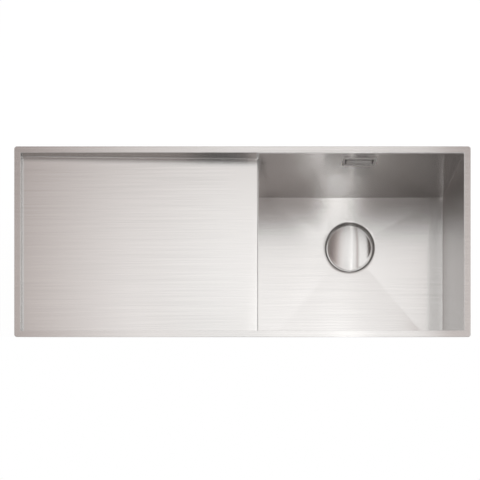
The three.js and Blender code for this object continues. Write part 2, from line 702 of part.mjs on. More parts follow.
// The overflow hose: down behind the bowl, round one bend and forward to the waste body.
function makeHose() {
  const top = spigotEnd - gap;
  const drop = top - (wasteSpigotLevel + hoseBend);
  const turn = Math.PI / 2 * hoseBend;
  const run = hoseY - hoseBend - (wasteSpigotEnd + gap);
  const total = drop + turn + run;
  const place = (s) => {
    if (s <= drop) return { y: hoseY, z: top - s, lean: 0 };
    if (s >= drop + turn) {
      return { y: hoseY - hoseBend - (s - drop - turn), z: wasteSpigotLevel, lean: Math.PI / 2 };
    }
    const lean = (s - drop) / hoseBend;
    return {
      y: hoseY - hoseBend * (1 - Math.cos(lean)),
      z: wasteSpigotLevel + hoseBend * (1 - Math.sin(lean)),
      lean,
    };
  };
  const sides = 10;
  const ringAt = (s, radius) => {
    const { y, z, lean } = place(s);
    return Array.from({ length: sides }, (_, i) => {
      const angle = 2 * Math.PI * i / sides;
      const out = radius * Math.sin(angle);
      return [bowlMiddle + radius * Math.cos(angle), y + out * Math.cos(lean), z + out * Math.sin(lean)];
    });
  };
  const cuff = nutHeight / 2 + 2;
  const ribs = Math.floor((total - 2 * cuff) / hosePitch);
  const first = (total - ribs * hosePitch) / 2;
  const outline = [[0, hoseCuff], [first, hoseCuff]];
  for (let rib = 0; rib < ribs; rib += 1) {
    const s = first + rib * hosePitch;
    outline.push([s + hosePitch * 0.25, hoseRadius], [s + hosePitch * 0.75, hoseRibRadius]);
  }
  outline.push([total - first, hoseCuff], [total, hoseCuff]);
  const boreSteps = Math.ceil(ribs / 5);
  const bore = Array.from({ length: boreSteps + 1 }, (_, i) => [total * (1 - i / boreSteps), hoseBore - 1]);
  const rings = [...outline, ...bore].map(([s, radius]) => ringAt(s, radius));
  const index = [];
  for (let ring = 0; ring < rings.length; ring += 1) {
    const here = ring * sides;
    const next = ((ring + 1) % rings.length) * sides;
    for (let i = 0; i < sides; i += 1) {
      const j = (i + 1) % sides;
      index.push(here + i, next + j, here + j, here + i, next + i, next + j);
    }
  }
  const geometry = new THREE.BufferGeometry();
  geometry.setAttribute('position', new THREE.Float32BufferAttribute(rings.flat(2), 3));
  geometry.setIndex(index);
  piece('overflow_hose', geometry, plastic);

  // A ribbed nut over each joint of hose and spigot.
  const bored = hoseRibRadius + gap;
  const nutShape = new THREE.Shape(Array.from({ length: 2 * nutGrips }, (_, i) => {
    const angle = Math.PI * i / nutGrips;
    const r = bored + nutWall - (i % 2 ? 0.9 : 0);
    return new THREE.Vector2(r * Math.cos(angle), r * Math.sin(angle));
  }));
  nutShape.holes.push(new THREE.Path().absarc(0, 0, bored, 0, 2 * Math.PI));
  const upper = plate(nutShape, -nutHeight / 2, nutHeight / 2, 12);
  const lower = upper.clone().rotateX(Math.PI / 2);
  piece('hose_nut_upper', upper.translate(bowlMiddle, hoseY, top), plastic);
  piece('hose_nut_lower', lower.translate(bowlMiddle, wasteSpigotEnd, wasteSpigotLevel), plastic);
}

// ---------------------------------------------------------------- clamps

// One clamp, drawn with the wall along x and outward along +y.
function makeClamp(name, x, facing) {
  const clamp = new THREE.Group();
  clamp.position.set(x, facing * wallOutside, 0);
  clamp.rotation.z = facing > 0 ? 0 : Math.PI;
  object.add(clamp);
  const upright = (geometry) => geometry.translate(0, clampAxis, 0);
  const back = gap + clampSheet;
  const half = nutSide / 2;
  const shelfHalf = shelfLength / 2;
  const shelfEnd = clampAxis + half + 0.5;
  const shelf = (top) => block(-shelfHalf, shelfHalf, gap, shelfEnd, top - shelfSheet, top);

  // The nut's side runs in a window of the back plate, which keeps it from turning.
  const side = half + 0.4;
  const window = block(-side, side, 0, back + 1, clampFoot + gap, clampShelf - shelfSheet - gap);
  const holes = [clampShelf, clampFoot].map((z) => upright(rod(clampBore, z - 5, z + 5, 12)));
  const reach = backPlateLength / 2;
  const backPlate = block(-reach, reach, gap, back, clampFoot - shelfSheet, clampTop);
  const bracket = cut(join(backPlate, shelf(clampShelf), shelf(clampFoot)), window, ...holes);
  piece(`${name}_bracket`, geometryOf(bracket), zinc, clamp);

  // The screw is kept by its head under the lower shelf and its burred end over the upper one.
  const headTop = clampFoot - shelfSheet - gap;
  const headRadius = 2 * clampScrewRadius;
  const burrRadius = 1.5 * clampScrewRadius;
  const tip = clampShelf + gap;
  const screw = upright(turned([
    [0, headTop - 2.6], [headRadius, headTop - 2.6], [headRadius, headTop],
    [clampScrewRadius, headTop], [clampScrewRadius, tip],
    [burrRadius, tip], [burrRadius, tip + 1], [0, tip + 1],
  ], 10));
  const drive = block(-4, 4, clampAxis - 0.6, clampAxis + 0.6, headTop - 3, headTop - 1.4);
  piece(`${name}_screw`, geometryOf(cut(solid(screw), drive)), zinc, clamp);

  const nutBottom = clampFoot + gap;
  const nutTop = nutBottom + nutThickness;
  const bore = () => new THREE.Path().absarc(0, clampAxis, clampBore, 0, 2 * Math.PI);
  const nutShape = new THREE.Shape([[-1, -1], [1, -1], [1, 1], [-1, 1]]
    .map(([u, v]) => new THREE.Vector2(u * half, clampAxis + v * half)));
  nutShape.holes.push(bore());
  piece(`${name}_nut`, plate(nutShape, nutBottom, nutTop, 4), zinc, clamp);

  // The claw's eye turns on the screw, and its tip bites up into the worktop.
  const clawBottom = nutTop + gap;
  const clawTop = clawBottom + clawThickness;
  const w = clawWidth / 2;
  const neck = Math.asin(w / clawEye);
  const arm = new THREE.Shape();
  arm.absarc(0, clampAxis, clawEye, neck, 2 * Math.PI - neck);
  arm.lineTo(clawLength, clampAxis - w);
  arm.lineTo(clawLength, clampAxis + w);
  arm.holes.push(bore());
  const tooth = new THREE.Shape();
  tooth.moveTo(clawLength - 5, clawTop - 0.5);
  tooth.lineTo(clawLength, clawTop - 0.5);
  tooth.lineTo(clawLength, clawTop + clawTooth);
  const bite = plate(tooth, -clampAxis - w, w - clampAxis).rotateX(Math.PI / 2);
  piece(`${name}_claw`, geometryOf(join(plate(arm, clawBottom, clawTop, 4), bite)), zinc, clamp);
}

makeRim();
makeDrainboard();
makeBowl();
makeUnderside();
makeWaste();
makeOverflow();
makeHose();
clampXs.forEach((x, i) => {
  makeClamp(`clamp_back_${i + 1}`, x, 1);
  makeClamp(`clamp_front_${i + 1}`, x, -1);
});

export default object;
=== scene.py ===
# %% [markdown]
# # An inset kitchen sink with a drainboard
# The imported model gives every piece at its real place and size. This notebook dresses it: the
# sheets that are seen get finer surfaces with true folds, and every piece gets its finish.
# Brushed stainless steel is almost all reflection, so half of the work is the studio round it.

# %% Load the frame
import json

import bmesh
import bpy
import numpy as np
from mathutils import Matrix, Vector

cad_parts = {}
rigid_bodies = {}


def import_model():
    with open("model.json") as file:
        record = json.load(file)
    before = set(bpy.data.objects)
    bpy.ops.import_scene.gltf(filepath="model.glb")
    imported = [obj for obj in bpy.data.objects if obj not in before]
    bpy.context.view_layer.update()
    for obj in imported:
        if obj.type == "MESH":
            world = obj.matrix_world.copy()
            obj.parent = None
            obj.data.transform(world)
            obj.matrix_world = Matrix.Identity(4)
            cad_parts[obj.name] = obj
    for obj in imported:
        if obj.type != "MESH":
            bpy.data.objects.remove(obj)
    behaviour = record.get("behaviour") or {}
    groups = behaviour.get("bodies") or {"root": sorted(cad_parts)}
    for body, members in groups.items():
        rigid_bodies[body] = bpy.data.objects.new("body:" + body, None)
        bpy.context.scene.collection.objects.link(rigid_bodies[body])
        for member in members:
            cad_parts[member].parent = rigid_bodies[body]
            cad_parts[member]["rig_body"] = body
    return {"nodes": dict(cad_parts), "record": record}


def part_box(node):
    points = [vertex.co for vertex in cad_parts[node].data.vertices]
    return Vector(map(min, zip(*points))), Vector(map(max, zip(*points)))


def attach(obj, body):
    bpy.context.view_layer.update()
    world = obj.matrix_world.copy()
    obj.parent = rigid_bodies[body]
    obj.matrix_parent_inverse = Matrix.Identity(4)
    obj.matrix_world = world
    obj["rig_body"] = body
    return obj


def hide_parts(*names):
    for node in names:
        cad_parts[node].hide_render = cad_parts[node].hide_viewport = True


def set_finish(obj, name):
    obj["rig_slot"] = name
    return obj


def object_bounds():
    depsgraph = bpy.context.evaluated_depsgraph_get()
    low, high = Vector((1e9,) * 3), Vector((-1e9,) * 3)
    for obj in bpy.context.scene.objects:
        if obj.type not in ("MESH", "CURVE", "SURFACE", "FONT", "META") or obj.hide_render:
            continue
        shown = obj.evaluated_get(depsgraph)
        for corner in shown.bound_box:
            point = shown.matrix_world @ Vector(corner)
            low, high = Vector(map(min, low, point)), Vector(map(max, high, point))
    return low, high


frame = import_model()
nodes = frame["nodes"]
cad_low, cad_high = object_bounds()
scene = bpy.context.scene
print("CAD box", [round(v, 4) for v in cad_low], [round(v, 4) for v in cad_high])

# %% [markdown]
# ## The camera
# The picture was taken with a view camera: its back is parallel to the rim, so the rim is a true
# rectangle and the waste a true circle, yet the camera stands well in front of the sink and sees
# the bowl's back wall. Turning a camera would make the rim a trapezium. A large lens shift would
# keep it square, but every other view would carry the shift too. So the camera's frame is slanted
# by its parent: its picture plane stays level while its axis leans back to where it stands.

# %% Place the camera by the picture's own measures
PICTURE = 480                # pixels across the picture
PIXEL = 2.256e-3             # metres on the rim's plane that one pixel covers
SINK_PIXEL = (242.5, 241.6)  # the rim's middle in the picture
FOOT_PIXEL = (242.5, 615.3)  # where upright lines meet: the point under the camera
CAMERA_HEIGHT = 1.856        # over the rim, from how much smaller the bowl's floor looks
SENSOR = 36.0                # millimetres, a full frame

rim_low, rim_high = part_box("rim_frame")
rim_top = rim_high.z


def on_rim(pixel):
    """The place on the rim's plane that a pixel shows, in metres from the sink's middle."""
    return (pixel[0] - SINK_PIXEL[0]) * PIXEL, (SINK_PIXEL[1] - pixel[1]) * PIXEL


foot_x, foot_y = on_rim(FOOT_PIXEL)
aim_x, aim_y = on_rim((PICTURE / 2, PICTURE / 2))
lean_x = (foot_x - aim_x) / CAMERA_HEIGHT
lean_y = (foot_y - aim_y) / CAMERA_HEIGHT
eye_z = rim_top + CAMERA_HEIGHT
rig = bpy.data.objects.new("camera_rig", None)
scene.collection.objects.link(rig)
camera = bpy.data.objects.new("camera", bpy.data.cameras.new("camera"))
scene.collection.objects.link(camera)
camera.parent = rig
camera.matrix_parent_inverse = Matrix((
    (1, 0, lean_x, foot_x), (0, 1, lean_y, foot_y), (0, 0, 1, eye_z), (0, 0, 0, 1)))
camera.data.sensor_width = SENSOR
camera.data.lens = SENSOR * CAMERA_HEIGHT / (PIXEL * PICTURE) * (1 + lean_x ** 2 + lean_y ** 2) ** 0.5
camera.data.clip_start = 0.01
scene.camera = camera
scene.view_settings.view_transform = "Standard"
print("lens", round(camera.data.lens, 2), "mm, lean", round(lean_x, 4), round(lean_y, 4))

# %% [markdown]
# ## From arrays to meshes
# A sheet is a grid of points worked out as one array. The helpers join the grid's neighbours into
# quads, merge the points that fall together at poles, and lay a map on the surface whose first
# axis runs along the brushing. The brushed finish reads that map, so the lines follow each sheet.

# %% Grids, meshes and their brushing map
SHARP = 0.6         # radians between faces from which an edge is drawn sharp
SIDE_ON = 0.7       # share of the normal along X from which a wall faces sideways
ROUND_SCALE = 0.05  # metres of map for one radian round the waste
ARC = 7             # points round a fold or a sheet's corner


def grid_faces(rows, cols, wrap_rows=False, wrap_cols=False):
    """Quads of a grid whose point in row i and column j has the number i * cols + j."""
    i, j = np.meshgrid(np.arange(rows - (not wrap_rows)), np.arange(cols - (not wrap_cols)), indexing="ij")
    up, on = (i + 1) % rows, (j + 1) % cols
    return np.stack([i * cols + j, i * cols + on, up * cols + on, up * cols + j], -1).reshape(-1, 4)


def sheet_map(centre, normal, point):
    """Brushing along X on floors and long walls. Walls that face along X were folded up from such
    a sheet, so it runs upwards on them."""
    side = np.abs(normal[:, :1]) > SIDE_ON
    u = np.where(side, point[:, 2:3], point[:, 0:1])
    v = np.where(side, point[:, 1:2], point[:, 1:2] + point[:, 2:3])
    return np.hstack([u, v])


def spun_map(centre, normal, point):
    """Brushing round the drain's axis: the first axis is the way round, the second the way out."""
    rel, mid = point[:, :2] - drain, centre[:, :2] - drain
    turn = np.arctan2(rel[:, 1], rel[:, 0])
    base = np.arctan2(mid[:, 1], mid[:, 0])
    turn = base + (turn - base + np.pi) % (2 * np.pi) - np.pi
    reach = np.hypot(rel[:, 0], rel[:, 1])
    return np.stack([turn * ROUND_SCALE, reach + point[:, 2]], -1)


def numbers(items, name, width=1, kind=float):
    """One property of all of a mesh's points, corners or faces as an array, width numbers each."""
    values = np.zeros(len(items) * width, kind)
    items.foreach_get(name, values)
    return values.reshape(-1, width) if width > 1 else values


def new_object(name, points, faces):
    """A mesh object at the origin. points are an array, faces a list of lists of point numbers."""
    mesh = bpy.data.meshes.new(name)
    mesh.from_pydata(points.tolist(), [], faces)
    piece = bpy.data.objects.new(name, mesh)
    scene.collection.objects.link(piece)
    return piece


def apply_modifier(piece, name):
    """Works a modifier into the mesh for good."""
    with bpy.context.temp_override(object=piece, active_object=piece, selected_objects=[piece]):
        bpy.ops.object.modifier_apply(modifier=name)


def shade(mesh):
    """Smooth over the folds, sharp along real edges."""
    mesh.shade_smooth()
    mesh.set_sharp_from_angle(angle=SHARP)


def finish_mesh(piece, wall):
    """Merges points that fall together, turns faces outwards and gives an open sheet its wall."""
    bm = bmesh.new()
    bm.from_mesh(piece.data)
    bmesh.ops.remove_doubles(bm, verts=bm.verts, dist=1e-6)
    bmesh.ops.dissolve_degenerate(bm, edges=bm.edges, dist=1e-7)
    if not wall:
        bmesh.ops.recalc_face_normals(bm, faces=bm.faces)
    bm.to_mesh(piece.data)
    bm.free()
    if wall:
        solidify = piece.modifiers.new("wall", "SOLIDIFY")
        solidify.thickness = wall
        solidify.offset = -1
        solidify.use_even_offset = True
        apply_modifier(piece, "wall")


def build(name, points, faces, node, slot, brushing=sheet_map, wall=0.0):
    """Makes one piece of the sink from points (n, 3) and quads, in metres at its place.

    wall gives an open sheet its thickness, away from the side that its faces show. Each face's
    corners get their place in the brushing map from the face's middle, its normal and the corner."""
    piece = new_object(name, points, faces.tolist())
    finish_mesh(piece, wall)
    mesh = piece.data
    corners = numbers(mesh.loops, "vertex_index", kind=np.int32)
    counts = numbers(mesh.polygons, "loop_total", kind=np.int32)
    owner = np.repeat(np.arange(len(counts)), counts)
    normal, centre = numbers(mesh.polygons, "normal", 3), numbers(mesh.polygons, "center", 3)
    uv = brushing(centre[owner], normal[owner], numbers(mesh.vertices, "co", 3)[corners])
    layer = mesh.uv_layers.new(name="brushing")
    layer.data.foreach_set("uv", uv.astype(np.float32).ravel())
    shade(mesh)
    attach(piece, nodes[node]["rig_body"])
    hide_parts(node)
    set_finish(piece, slot)
    print(name, len(mesh.polygons), "faces")
    return piece


def at_level(xy, z):
    """Adds one more coordinate, the same for all, to places on a line or on a plane."""
    return np.column_stack([xy, np.full(len(xy), z)])


def arc(cx, cy, r, start, end, count):
    """count points on a circle from angle start to angle end, in half turns."""
    t = np.linspace(start, end, count) * np.pi
    return np.stack([cx + r * np.cos(t), cy + r * np.sin(t)], -1)


def round_corners(x0, x1, y0, y1, r, count):
    """A rectangle's corners as arcs, from the front right one anticlockwise."""
    return [arc(x1 - r, y0 + r, r, -0.5, 0, count), arc(x1 - r, y1 - r, r, 0, 0.5, count),
            arc(x0 + r, y1 - r, r, 0.5, 1, count), arc(x0 + r, y0 + r, r, 1, 1.5, count)]


def round_grid(radius, turn, level, middle):
    """Points of a round grid: row i lies on level i, at the radius that is given for each turn."""
    x, y = middle[0] + radius * np.cos(turn), middle[1] + radius * np.sin(turn)
    return np.stack([x, y, np.repeat(level[:, None], len(turn), 1)], -1)


def revolve(profile, count):
    """A profile of (radius, level) carried once round the drain's axis, as a grid."""
    turn = np.linspace(0, 2 * np.pi, count, endpoint=False)
    r, z = np.asarray(profile).T
    return round_grid(r[:, None], turn, z, drain)


def build_grid(name, grid, node, slot, brushing=sheet_map, wrap_rows=True):
    """Makes one piece of a grid (rows, columns, 3) that closes on itself, at least along its rows."""
    faces = grid_faces(*grid.shape[:2], wrap_rows=wrap_rows, wrap_cols=True)
    return build(name, grid.reshape(-1, 3), faces, node, slot, brushing)


def rounded(corners, radii, steps=5):
    """A closed outline with its corners made round.

    Each corner is cut back by its radius times the tangent of half the turn and joined by an arc."""
    p = np.asarray(corners, float)
    out = []
    for here, before, after, r in zip(p, np.roll(p, 1, 0), np.roll(p, -1, 0), radii):
        a = (before - here) / max(np.linalg.norm(before - here), 1e-9)
        b = (after - here) / max(np.linalg.norm(after - here), 1e-9)
        half = np.arccos(np.clip(a @ b, -1, 1)) / 2
        if r <= 0 or half > 1.56:
            out.append(here[None])
            continue
        back = r / np.tan(half)
        centre = here + (a + b) / np.linalg.norm(a + b) * r / np.sin(half)
        first, last = here + a * back - centre, here + b * back - centre
        angle = np.arctan2(first[0] * last[1] - first[1] * last[0], first @ last)
        t = np.linspace(0, angle, steps)[:, None]
        side = np.array([-first[1], first[0]])
        out.append(centre + np.cos(t) * first + np.sin(t) * side)
    return np.vstack(out)


# %% [markdown]
# ## Sizes taken from the frame
# Each finer surface is fitted to the solid that it stands for, so its sizes are read from the
# packed boxes. Gauge, folds, falls and clearances can't be seen on a box and are written here.

# %% Measure the frame
pan_low, pan_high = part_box("drainboard_pan")
bowl_low, bowl_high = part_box("bowl_shell")
flange_low, flange_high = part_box("strainer_flange")
cap_low, cap_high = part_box("strainer_cap")
SHEET = 0.001          # gauge of pan and bowl
FOLD = 0.0015          # inside radius of their folds
RIM_BAND = 0.014       # width of the flat frame
EDGE_BEND = 0.0025     # outside bend of the drainboard's edge
EDGE_LIP = 0.012       # how far that edge is turned down
GAP = 0.0003           # clearance where two pieces meet
BOWL_DEPTH = 0.2       # from the rim's top to the foot of the bowl's walls
FLOOR_FALL = 0.007     # how far the solid's floor falls to the waste
FOLD_FALL = 0.0045     # the same for the finer floor, seen from its four soft shades
RECESS = 0.004         # depth of the pressed seat under the flange
FAR_DEPTH = 0.0165     # the drainboard under the rim's top, at its far end
NEAR_DEPTH = 0.026     # and where it comes to the bowl
OVERFLOW_HALF = 0.034  # half the length of the overflow's opening in the wall
OVERFLOW_HIGH = 0.011  # half its height

half_y = bowl_high.y - SHEET
bowl_x0, bowl_x1 = bowl_low.x + SHEET, bowl_high.x - SHEET
pan_x0 = pan_low.x + SHEET
wall_top = bowl_high.z
drain = np.array([(flange_low.x + flange_high.x) / 2, (flange_low.y + flange_high.y) / 2])
bezel_low, bezel_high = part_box("overflow_bezel")
overflow_z = (bezel_low.z + bezel_high.z) / 2
floor_z = rim_top - BOWL_DEPTH
apex_z = floor_z - FLOOR_FALL
recess_z = apex_z - RECESS
slope = (FAR_DEPTH - NEAR_DEPTH) / (bowl_x0 - pan_x0)
edge_z = rim_top - FAR_DEPTH + slope * (bowl_x0 - EDGE_BEND - pan_x0)
ledge_z = edge_z - EDGE_LIP - GAP
print("bowl", round(bowl_x0, 4), "to", round(bowl_x1, 4), "and", round(half_y, 4), "waste", drain)

# %% [markdown]
# ## The rim
# The rim is one flat plate with a narrow, straight band all round and almost square corners. A
# plain extrusion would have knife edges that catch no light. Here a cross-section with softened
# edges is carried round a rectangle, so each edge shows the thin bright line of real cut sheet.

# %% Build the rim
def rect_path(x0, x1, y0, y1, r):
    """A rectangle with round corners and a point halfway along each side, as (n, 2) points."""
    corners = round_corners(x0, x1, y0, y1, r, 9)
    parts = []
    for here, after in zip(corners, corners[1:] + corners[:1]):
        parts += [here, (here[-1:] + after[:1]) / 2]
    return np.vstack(parts)


def held(section, near=0.0003):
    """Two more points on each long straight of a section, near its ends, so that it is shaded flat."""
    step = np.roll(section, -1, 0) - section
    length = np.linalg.norm(step, axis=1)[:, None]
    share = near / np.maximum(length, 1e-9)
    points = np.stack([section, section + step * share, section + step * (1 - share)], 1)
    return points[np.hstack([np.ones_like(length), length, length]) > 6 * near]


def make_rim():
    """The band's section is a thin rectangle with soft edges; each of its points has its own ring."""
    x, y, low, high = rim_high.x, rim_high.y, rim_low.z, rim_high.z
    soft, outer = 0.0004, 0.006  # radii of the band's edge and of the frame's outer corner
    section = held(rounded([(0, low), (0, high), (RIM_BAND, high), (RIM_BAND, low)],
                           [soft / 2, soft, soft, soft / 2], 4))
    rings = []
    for inset, z in section:
        radius = outer + (FOLD - outer) * inset / RIM_BAND
        rings.append(at_level(rect_path(-x + inset, x - inset, -y + inset, y - inset, radius), z))
    return build_grid("rim_plate", np.array(rings), "rim_frame", "brushed_rim")


make_rim()

# %% [markdown]
# ## The drainboard
# The drainboard is a folded tray: its floor falls to the bowl and its right edge is turned down
# over it. The surface is a grid. Each row is a U that runs along the front, round the far end and
# back along the rear. The rows step down the wall, round the fold, and in to the middle of the
# floor. At the open end each floor row is carried on over the bend and down the lip.

# %% Build the drainboard
def pan_floor(x):
    """The floor's level: a straight fall from the far end to the bowl."""
    return rim_top - FAR_DEPTH + slope * (x - pan_x0)


def make_pan():
    """Rows by their distance in from the wall and their rise over the floor, then the lip.

    The fold from wall to floor and the bend from floor to lip are quarter circles."""
    fold = np.linspace(0, 0.5, ARC) * np.pi
    bend = fold[1:]
    side_points = 24
    up_wall = np.array([1.0, 0.6, 0.1])  # shares of the wall's height, from its top down
    in_floor = FOLD + np.array([0.0008, 0.03, 0.1])
    inset = np.concatenate([np.zeros(3), FOLD * (1 - np.cos(fold)), in_floor, [half_y - 0.0001]])
    rise = np.concatenate([np.zeros(3), FOLD * (1 - np.sin(fold)), np.zeros(4)])
    end_x = bowl_x0 - EDGE_BEND
    rows = []
    for k, (d, up) in enumerate(zip(inset, rise)):
        on_wall = k < len(up_wall)
        r = max(FOLD - d, 0.0002)
        side = np.linspace(end_x, pan_x0 + d + r, side_points)
        front, back = at_level(side, d - half_y), at_level(side[::-1], half_y - d)
        if d > half_y - 0.001:  # the last row is the seam along the middle
            r = 0.00005
        corner_a = arc(pan_x0 + d + r, d + r - half_y, r, 1.5, 1, ARC)
        corner_b = arc(pan_x0 + d + r, half_y - d - r, r, 1, 0.5, ARC)
        row = np.vstack([front, corner_a[1:], corner_b[:-1], back])
        floor = pan_floor(row[:, 0])
        z = floor + FOLD + up_wall[k] * (wall_top - floor - FOLD) if on_wall else floor + up
        row = np.column_stack([row, z])
        if on_wall:  # a wall runs on to the bowl, level
            drop, out = np.zeros(ARC), np.full(ARC, EDGE_BEND - GAP)
        else:
            drop = np.append((1 - np.cos(bend)) * EDGE_BEND, EDGE_LIP)
            out = np.append(np.sin(bend), 1.0) * EDGE_BEND
        lips = [np.column_stack([at_level(end_x + out, y), z - drop]) for _, y, z in (row[0], row[-1])]
        rows.append(np.vstack([lips[0][::-1], row, lips[1]]))
    points = np.array(rows)
    count, cols = points.shape[:2]
    faces = grid_faces(count, cols)
    strip, column = faces[:, 0] // cols, faces[:, 0] % cols
    over_lip = (column < ARC) | (column >= cols - ARC - 1)
    faces = faces[~((strip == len(up_wall) - 1) & over_lip)]
    middle = np.arange(cols // 2)  # the front and back halves are joined by a seam
    near, far = (count - 1) * cols + middle, count * cols - 1 - middle
    seam = np.stack([near[:-1], near[1:], far[1:], far[:-1]], -1)
    faces = np.vstack([faces, seam])
    return build("drainboard_sheet", points.reshape(-1, 3), faces[:, ::-1], "drainboard_pan", "brushed_sheet",
                 wall=SHEET)


make_pan()

# %% [markdown]
# ## The bowl
# The bowl's floor is four flat planes that fall to the waste and meet in the creases seen as an X.
# Its height has a neat formula: the fall times the largest share of the way from the waste to any
# wall. Along a ray out of the waste that height is a straight line. So the surface is a grid of
# rays by rings, from the hole over the pressed recess, across the floor, round the fold and up.

# %% Build the bowl
ALONG = 26  # points along each side of the bowl, with its ends


def bowl_rim(inset, r):
    """The bowl's outline drawn in by inset, with extra points where the overflow opening is."""
    x0, x1, y = bowl_x0 + inset, bowl_x1 - inset, half_y - inset
    r = max(r, 0.0002)
    share = np.linspace(0, 1, ALONG)[1:-1]
    corners = round_corners(x0, x1, -y, y, r, ARC)
    middle_x = (bowl_x0 + bowl_x1) / 2
    right, left = middle_x + OVERFLOW_HALF, middle_x - OVERFLOW_HALF
    parts = []
    for k, (here, after) in enumerate(zip(corners, corners[1:] + corners[:1])):
        run = here[-1] + share[:, None] * (after[0] - here[-1])
        if k == 1:  # the back wall: up to the opening, across it, and on
            aside = (ALONG - 11) // 2
            run = np.column_stack([np.concatenate([
                np.linspace(here[-1][0], right, aside + 2)[1:-1],
                np.linspace(right, left, ALONG - 2 - 2 * aside),
                np.linspace(left, after[0][0], aside + 2)[1:-1]]), np.full(ALONG - 2, y)])
        parts += [here, run]
    return np.vstack(parts)


def floor_height(xy):
    """The wall's foot less the fall, which shrinks with the largest share of the way from waste to wall."""
    dx, dy = (xy - drain).T
    share = np.maximum.reduce([dx / (bowl_x1 - drain[0]), -dx / (drain[0] - bowl_x0),
                               dy / (half_y - drain[1]), -dy / (drain[1] + half_y)])
    return floor_z - FOLD_FALL * (1 - share)


def make_bowl():
    """Rings: hole, recess, its soft step up to the floor, floor, fold and wall.

    The step's height is share squared times (3 - 2 share), level at both ends. The fold is a
    quarter circle, and the crease that it starts from fades out along it."""
    inset_ring = bowl_rim(FOLD, 0.0)
    ray = inset_ring - drain
    ray /= np.linalg.norm(ray, axis=1)[:, None]
    hole, ledge, brim_reach = 0.045, 0.0582, 0.0633  # radii of hole, seat and recess
    rings = [at_level(drain + radius * ray, recess_z) for radius in (hole, ledge - 0.001, ledge)]
    brim = drain + brim_reach * ray
    brim_z = floor_height(brim)
    for share in np.linspace(0.15, 1, 7):
        radius = ledge + (brim_reach - ledge) * share
        lift = share * share * (3 - 2 * share)
        rings.append(np.column_stack([drain + radius * ray, recess_z + (brim_z - recess_z) * lift]))
    for share in (0.02, 0.3, 0.65, 0.985, 1.0):
        xy = brim + (inset_ring - brim) * share
        rings.append(np.column_stack([xy, floor_height(xy)]))
    edge_lift = floor_height(inset_ring) - floor_z
    for angle in np.linspace(0, 0.5, ARC)[1:] * np.pi:
        inset = FOLD * (1 - np.sin(angle))
        xy = bowl_rim(inset, FOLD - inset)
        z = floor_z + FOLD * (1 - np.cos(angle)) + edge_lift * (1 - angle / (0.5 * np.pi))
        rings.append(np.column_stack([xy, z]))
    wall = bowl_rim(0, FOLD)
    upper = wall.copy()  # over the ledge the left side is open and its corners are square
    at_left = wall[:, 0] < bowl_x0 + FOLD
    upper[at_left & (wall[:, 1] > half_y - FOLD), 1] = half_y
    upper[at_left & (wall[:, 1] < FOLD - half_y), 1] = -half_y
    levels = [(wall, overflow_z - 0.09), (wall, overflow_z - OVERFLOW_HIGH), (wall, ledge_z),
              (upper, ledge_z + 1e-5), (upper, overflow_z + OVERFLOW_HIGH), (upper, wall_top)]
    rings += [at_level(outline, z) for outline, z in levels]
    points = np.array(rings)
    rows, cols = points.shape[:2]
    faces = grid_faces(rows, cols, wrap_cols=True)
    centre = points.reshape(-1, 3)[faces].mean(1)
    row = faces[:, 0] // cols
    open_side = (centre[:, 0] < bowl_x0 + 1e-4) & (row >= rows - 4)
    opening = ((np.abs(centre[:, 0] - (bowl_x0 + bowl_x1) / 2) < OVERFLOW_HALF)
               & (centre[:, 1] > half_y - 1e-4) & (row >= rows - 5) & (row < rows - 2))
    faces = faces[~(open_side | opening)]
    return build("bowl_sheet", points.reshape(-1, 3), faces, "bowl_shell", "brushed_sheet", wall=SHEET)


make_bowl()

# %% [markdown]
# ## The waste
# Flange, basket and cap are turned: one closed outline each, carried round the drain's axis. The
# holes are cut afterwards with a comb of cylinders, which is simpler than planning a grid that
# leaves them out. The cap is a shallow dome. Its rise was read from the picture: the steeper the
# dome, the more of the studio it gathers, so the fall from bright to dark over it gives its slope.

# %% Build flange, basket and cap
basket_low, basket_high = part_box("strainer_basket")
lip_top = flange_high.z
cup_floor = flange_low.z + SHEET
CUP_RADIUS = 0.043                 # outside of the flange's cup
SHOULDER = 0.0035                  # drop and run of the cone between lip and cup
POST_RADIUS = 0.004                # the basket's post, on which the cap sits
CAP_SHEET = 0.0012
CAP_RISE = 0.0147                  # of the dome, from its edge to its middle
AXIS = 0.00001                     # a radius so small that its ring merges to a point
cup_inside = CUP_RADIUS - SHEET
basket_wall = cup_inside - 0.0039  # outside of the basket, with room to lift it out
lip_reach = flange_high.x - drain[0]
basket_reach = basket_high.x - drain[0]
cap_reach = cap_high.x - drain[0]


def drill_comb(count, circle, radius, low, high):
    """Upright cylinders on a circle round the drain, as one mesh."""
    sides = 32
    side = np.arange(sides)
    after = (side + 1) % sides
    turn = np.linspace(0, 2 * np.pi, sides, endpoint=False)
    ring = np.column_stack([np.cos(turn), np.sin(turn)]) * radius
    points, faces = [], []
    for k in range(count):
        angle = 2 * np.pi * k / count
        centre = drain + circle * np.array([np.cos(angle), np.sin(angle)])
        points += [at_level(ring + centre, z) for z in (low, high)]
        foot, head = 2 * k * sides, (2 * k + 1) * sides
        faces += np.stack([foot + side, foot + after, head + after, head + side], -1).tolist()
        faces += [list(foot + side[::-1]), list(head + side)]
    return new_object("drill_comb", np.vstack(points), faces)


def cut_from(piece, tools):
    """Cuts each tool out of the piece for good and removes the tool."""
    for tool in tools:
        boolean = piece.modifiers.new("cut", "BOOLEAN")
        boolean.operation = "DIFFERENCE"
        boolean.solver = "EXACT"
        boolean.object = tool
        apply_modifier(piece, "cut")
        bpy.data.objects.remove(tool, do_unlink=True)
    shade(piece.data)
    return piece


def turned(name, outline, radii, count, node):
    """A polished piece whose outline of (radius, level), with rounded corners, is turned round the drain."""
    return build_grid(name, revolve(rounded(outline, radii, 6), count), node, "polished_steel", spun_map)


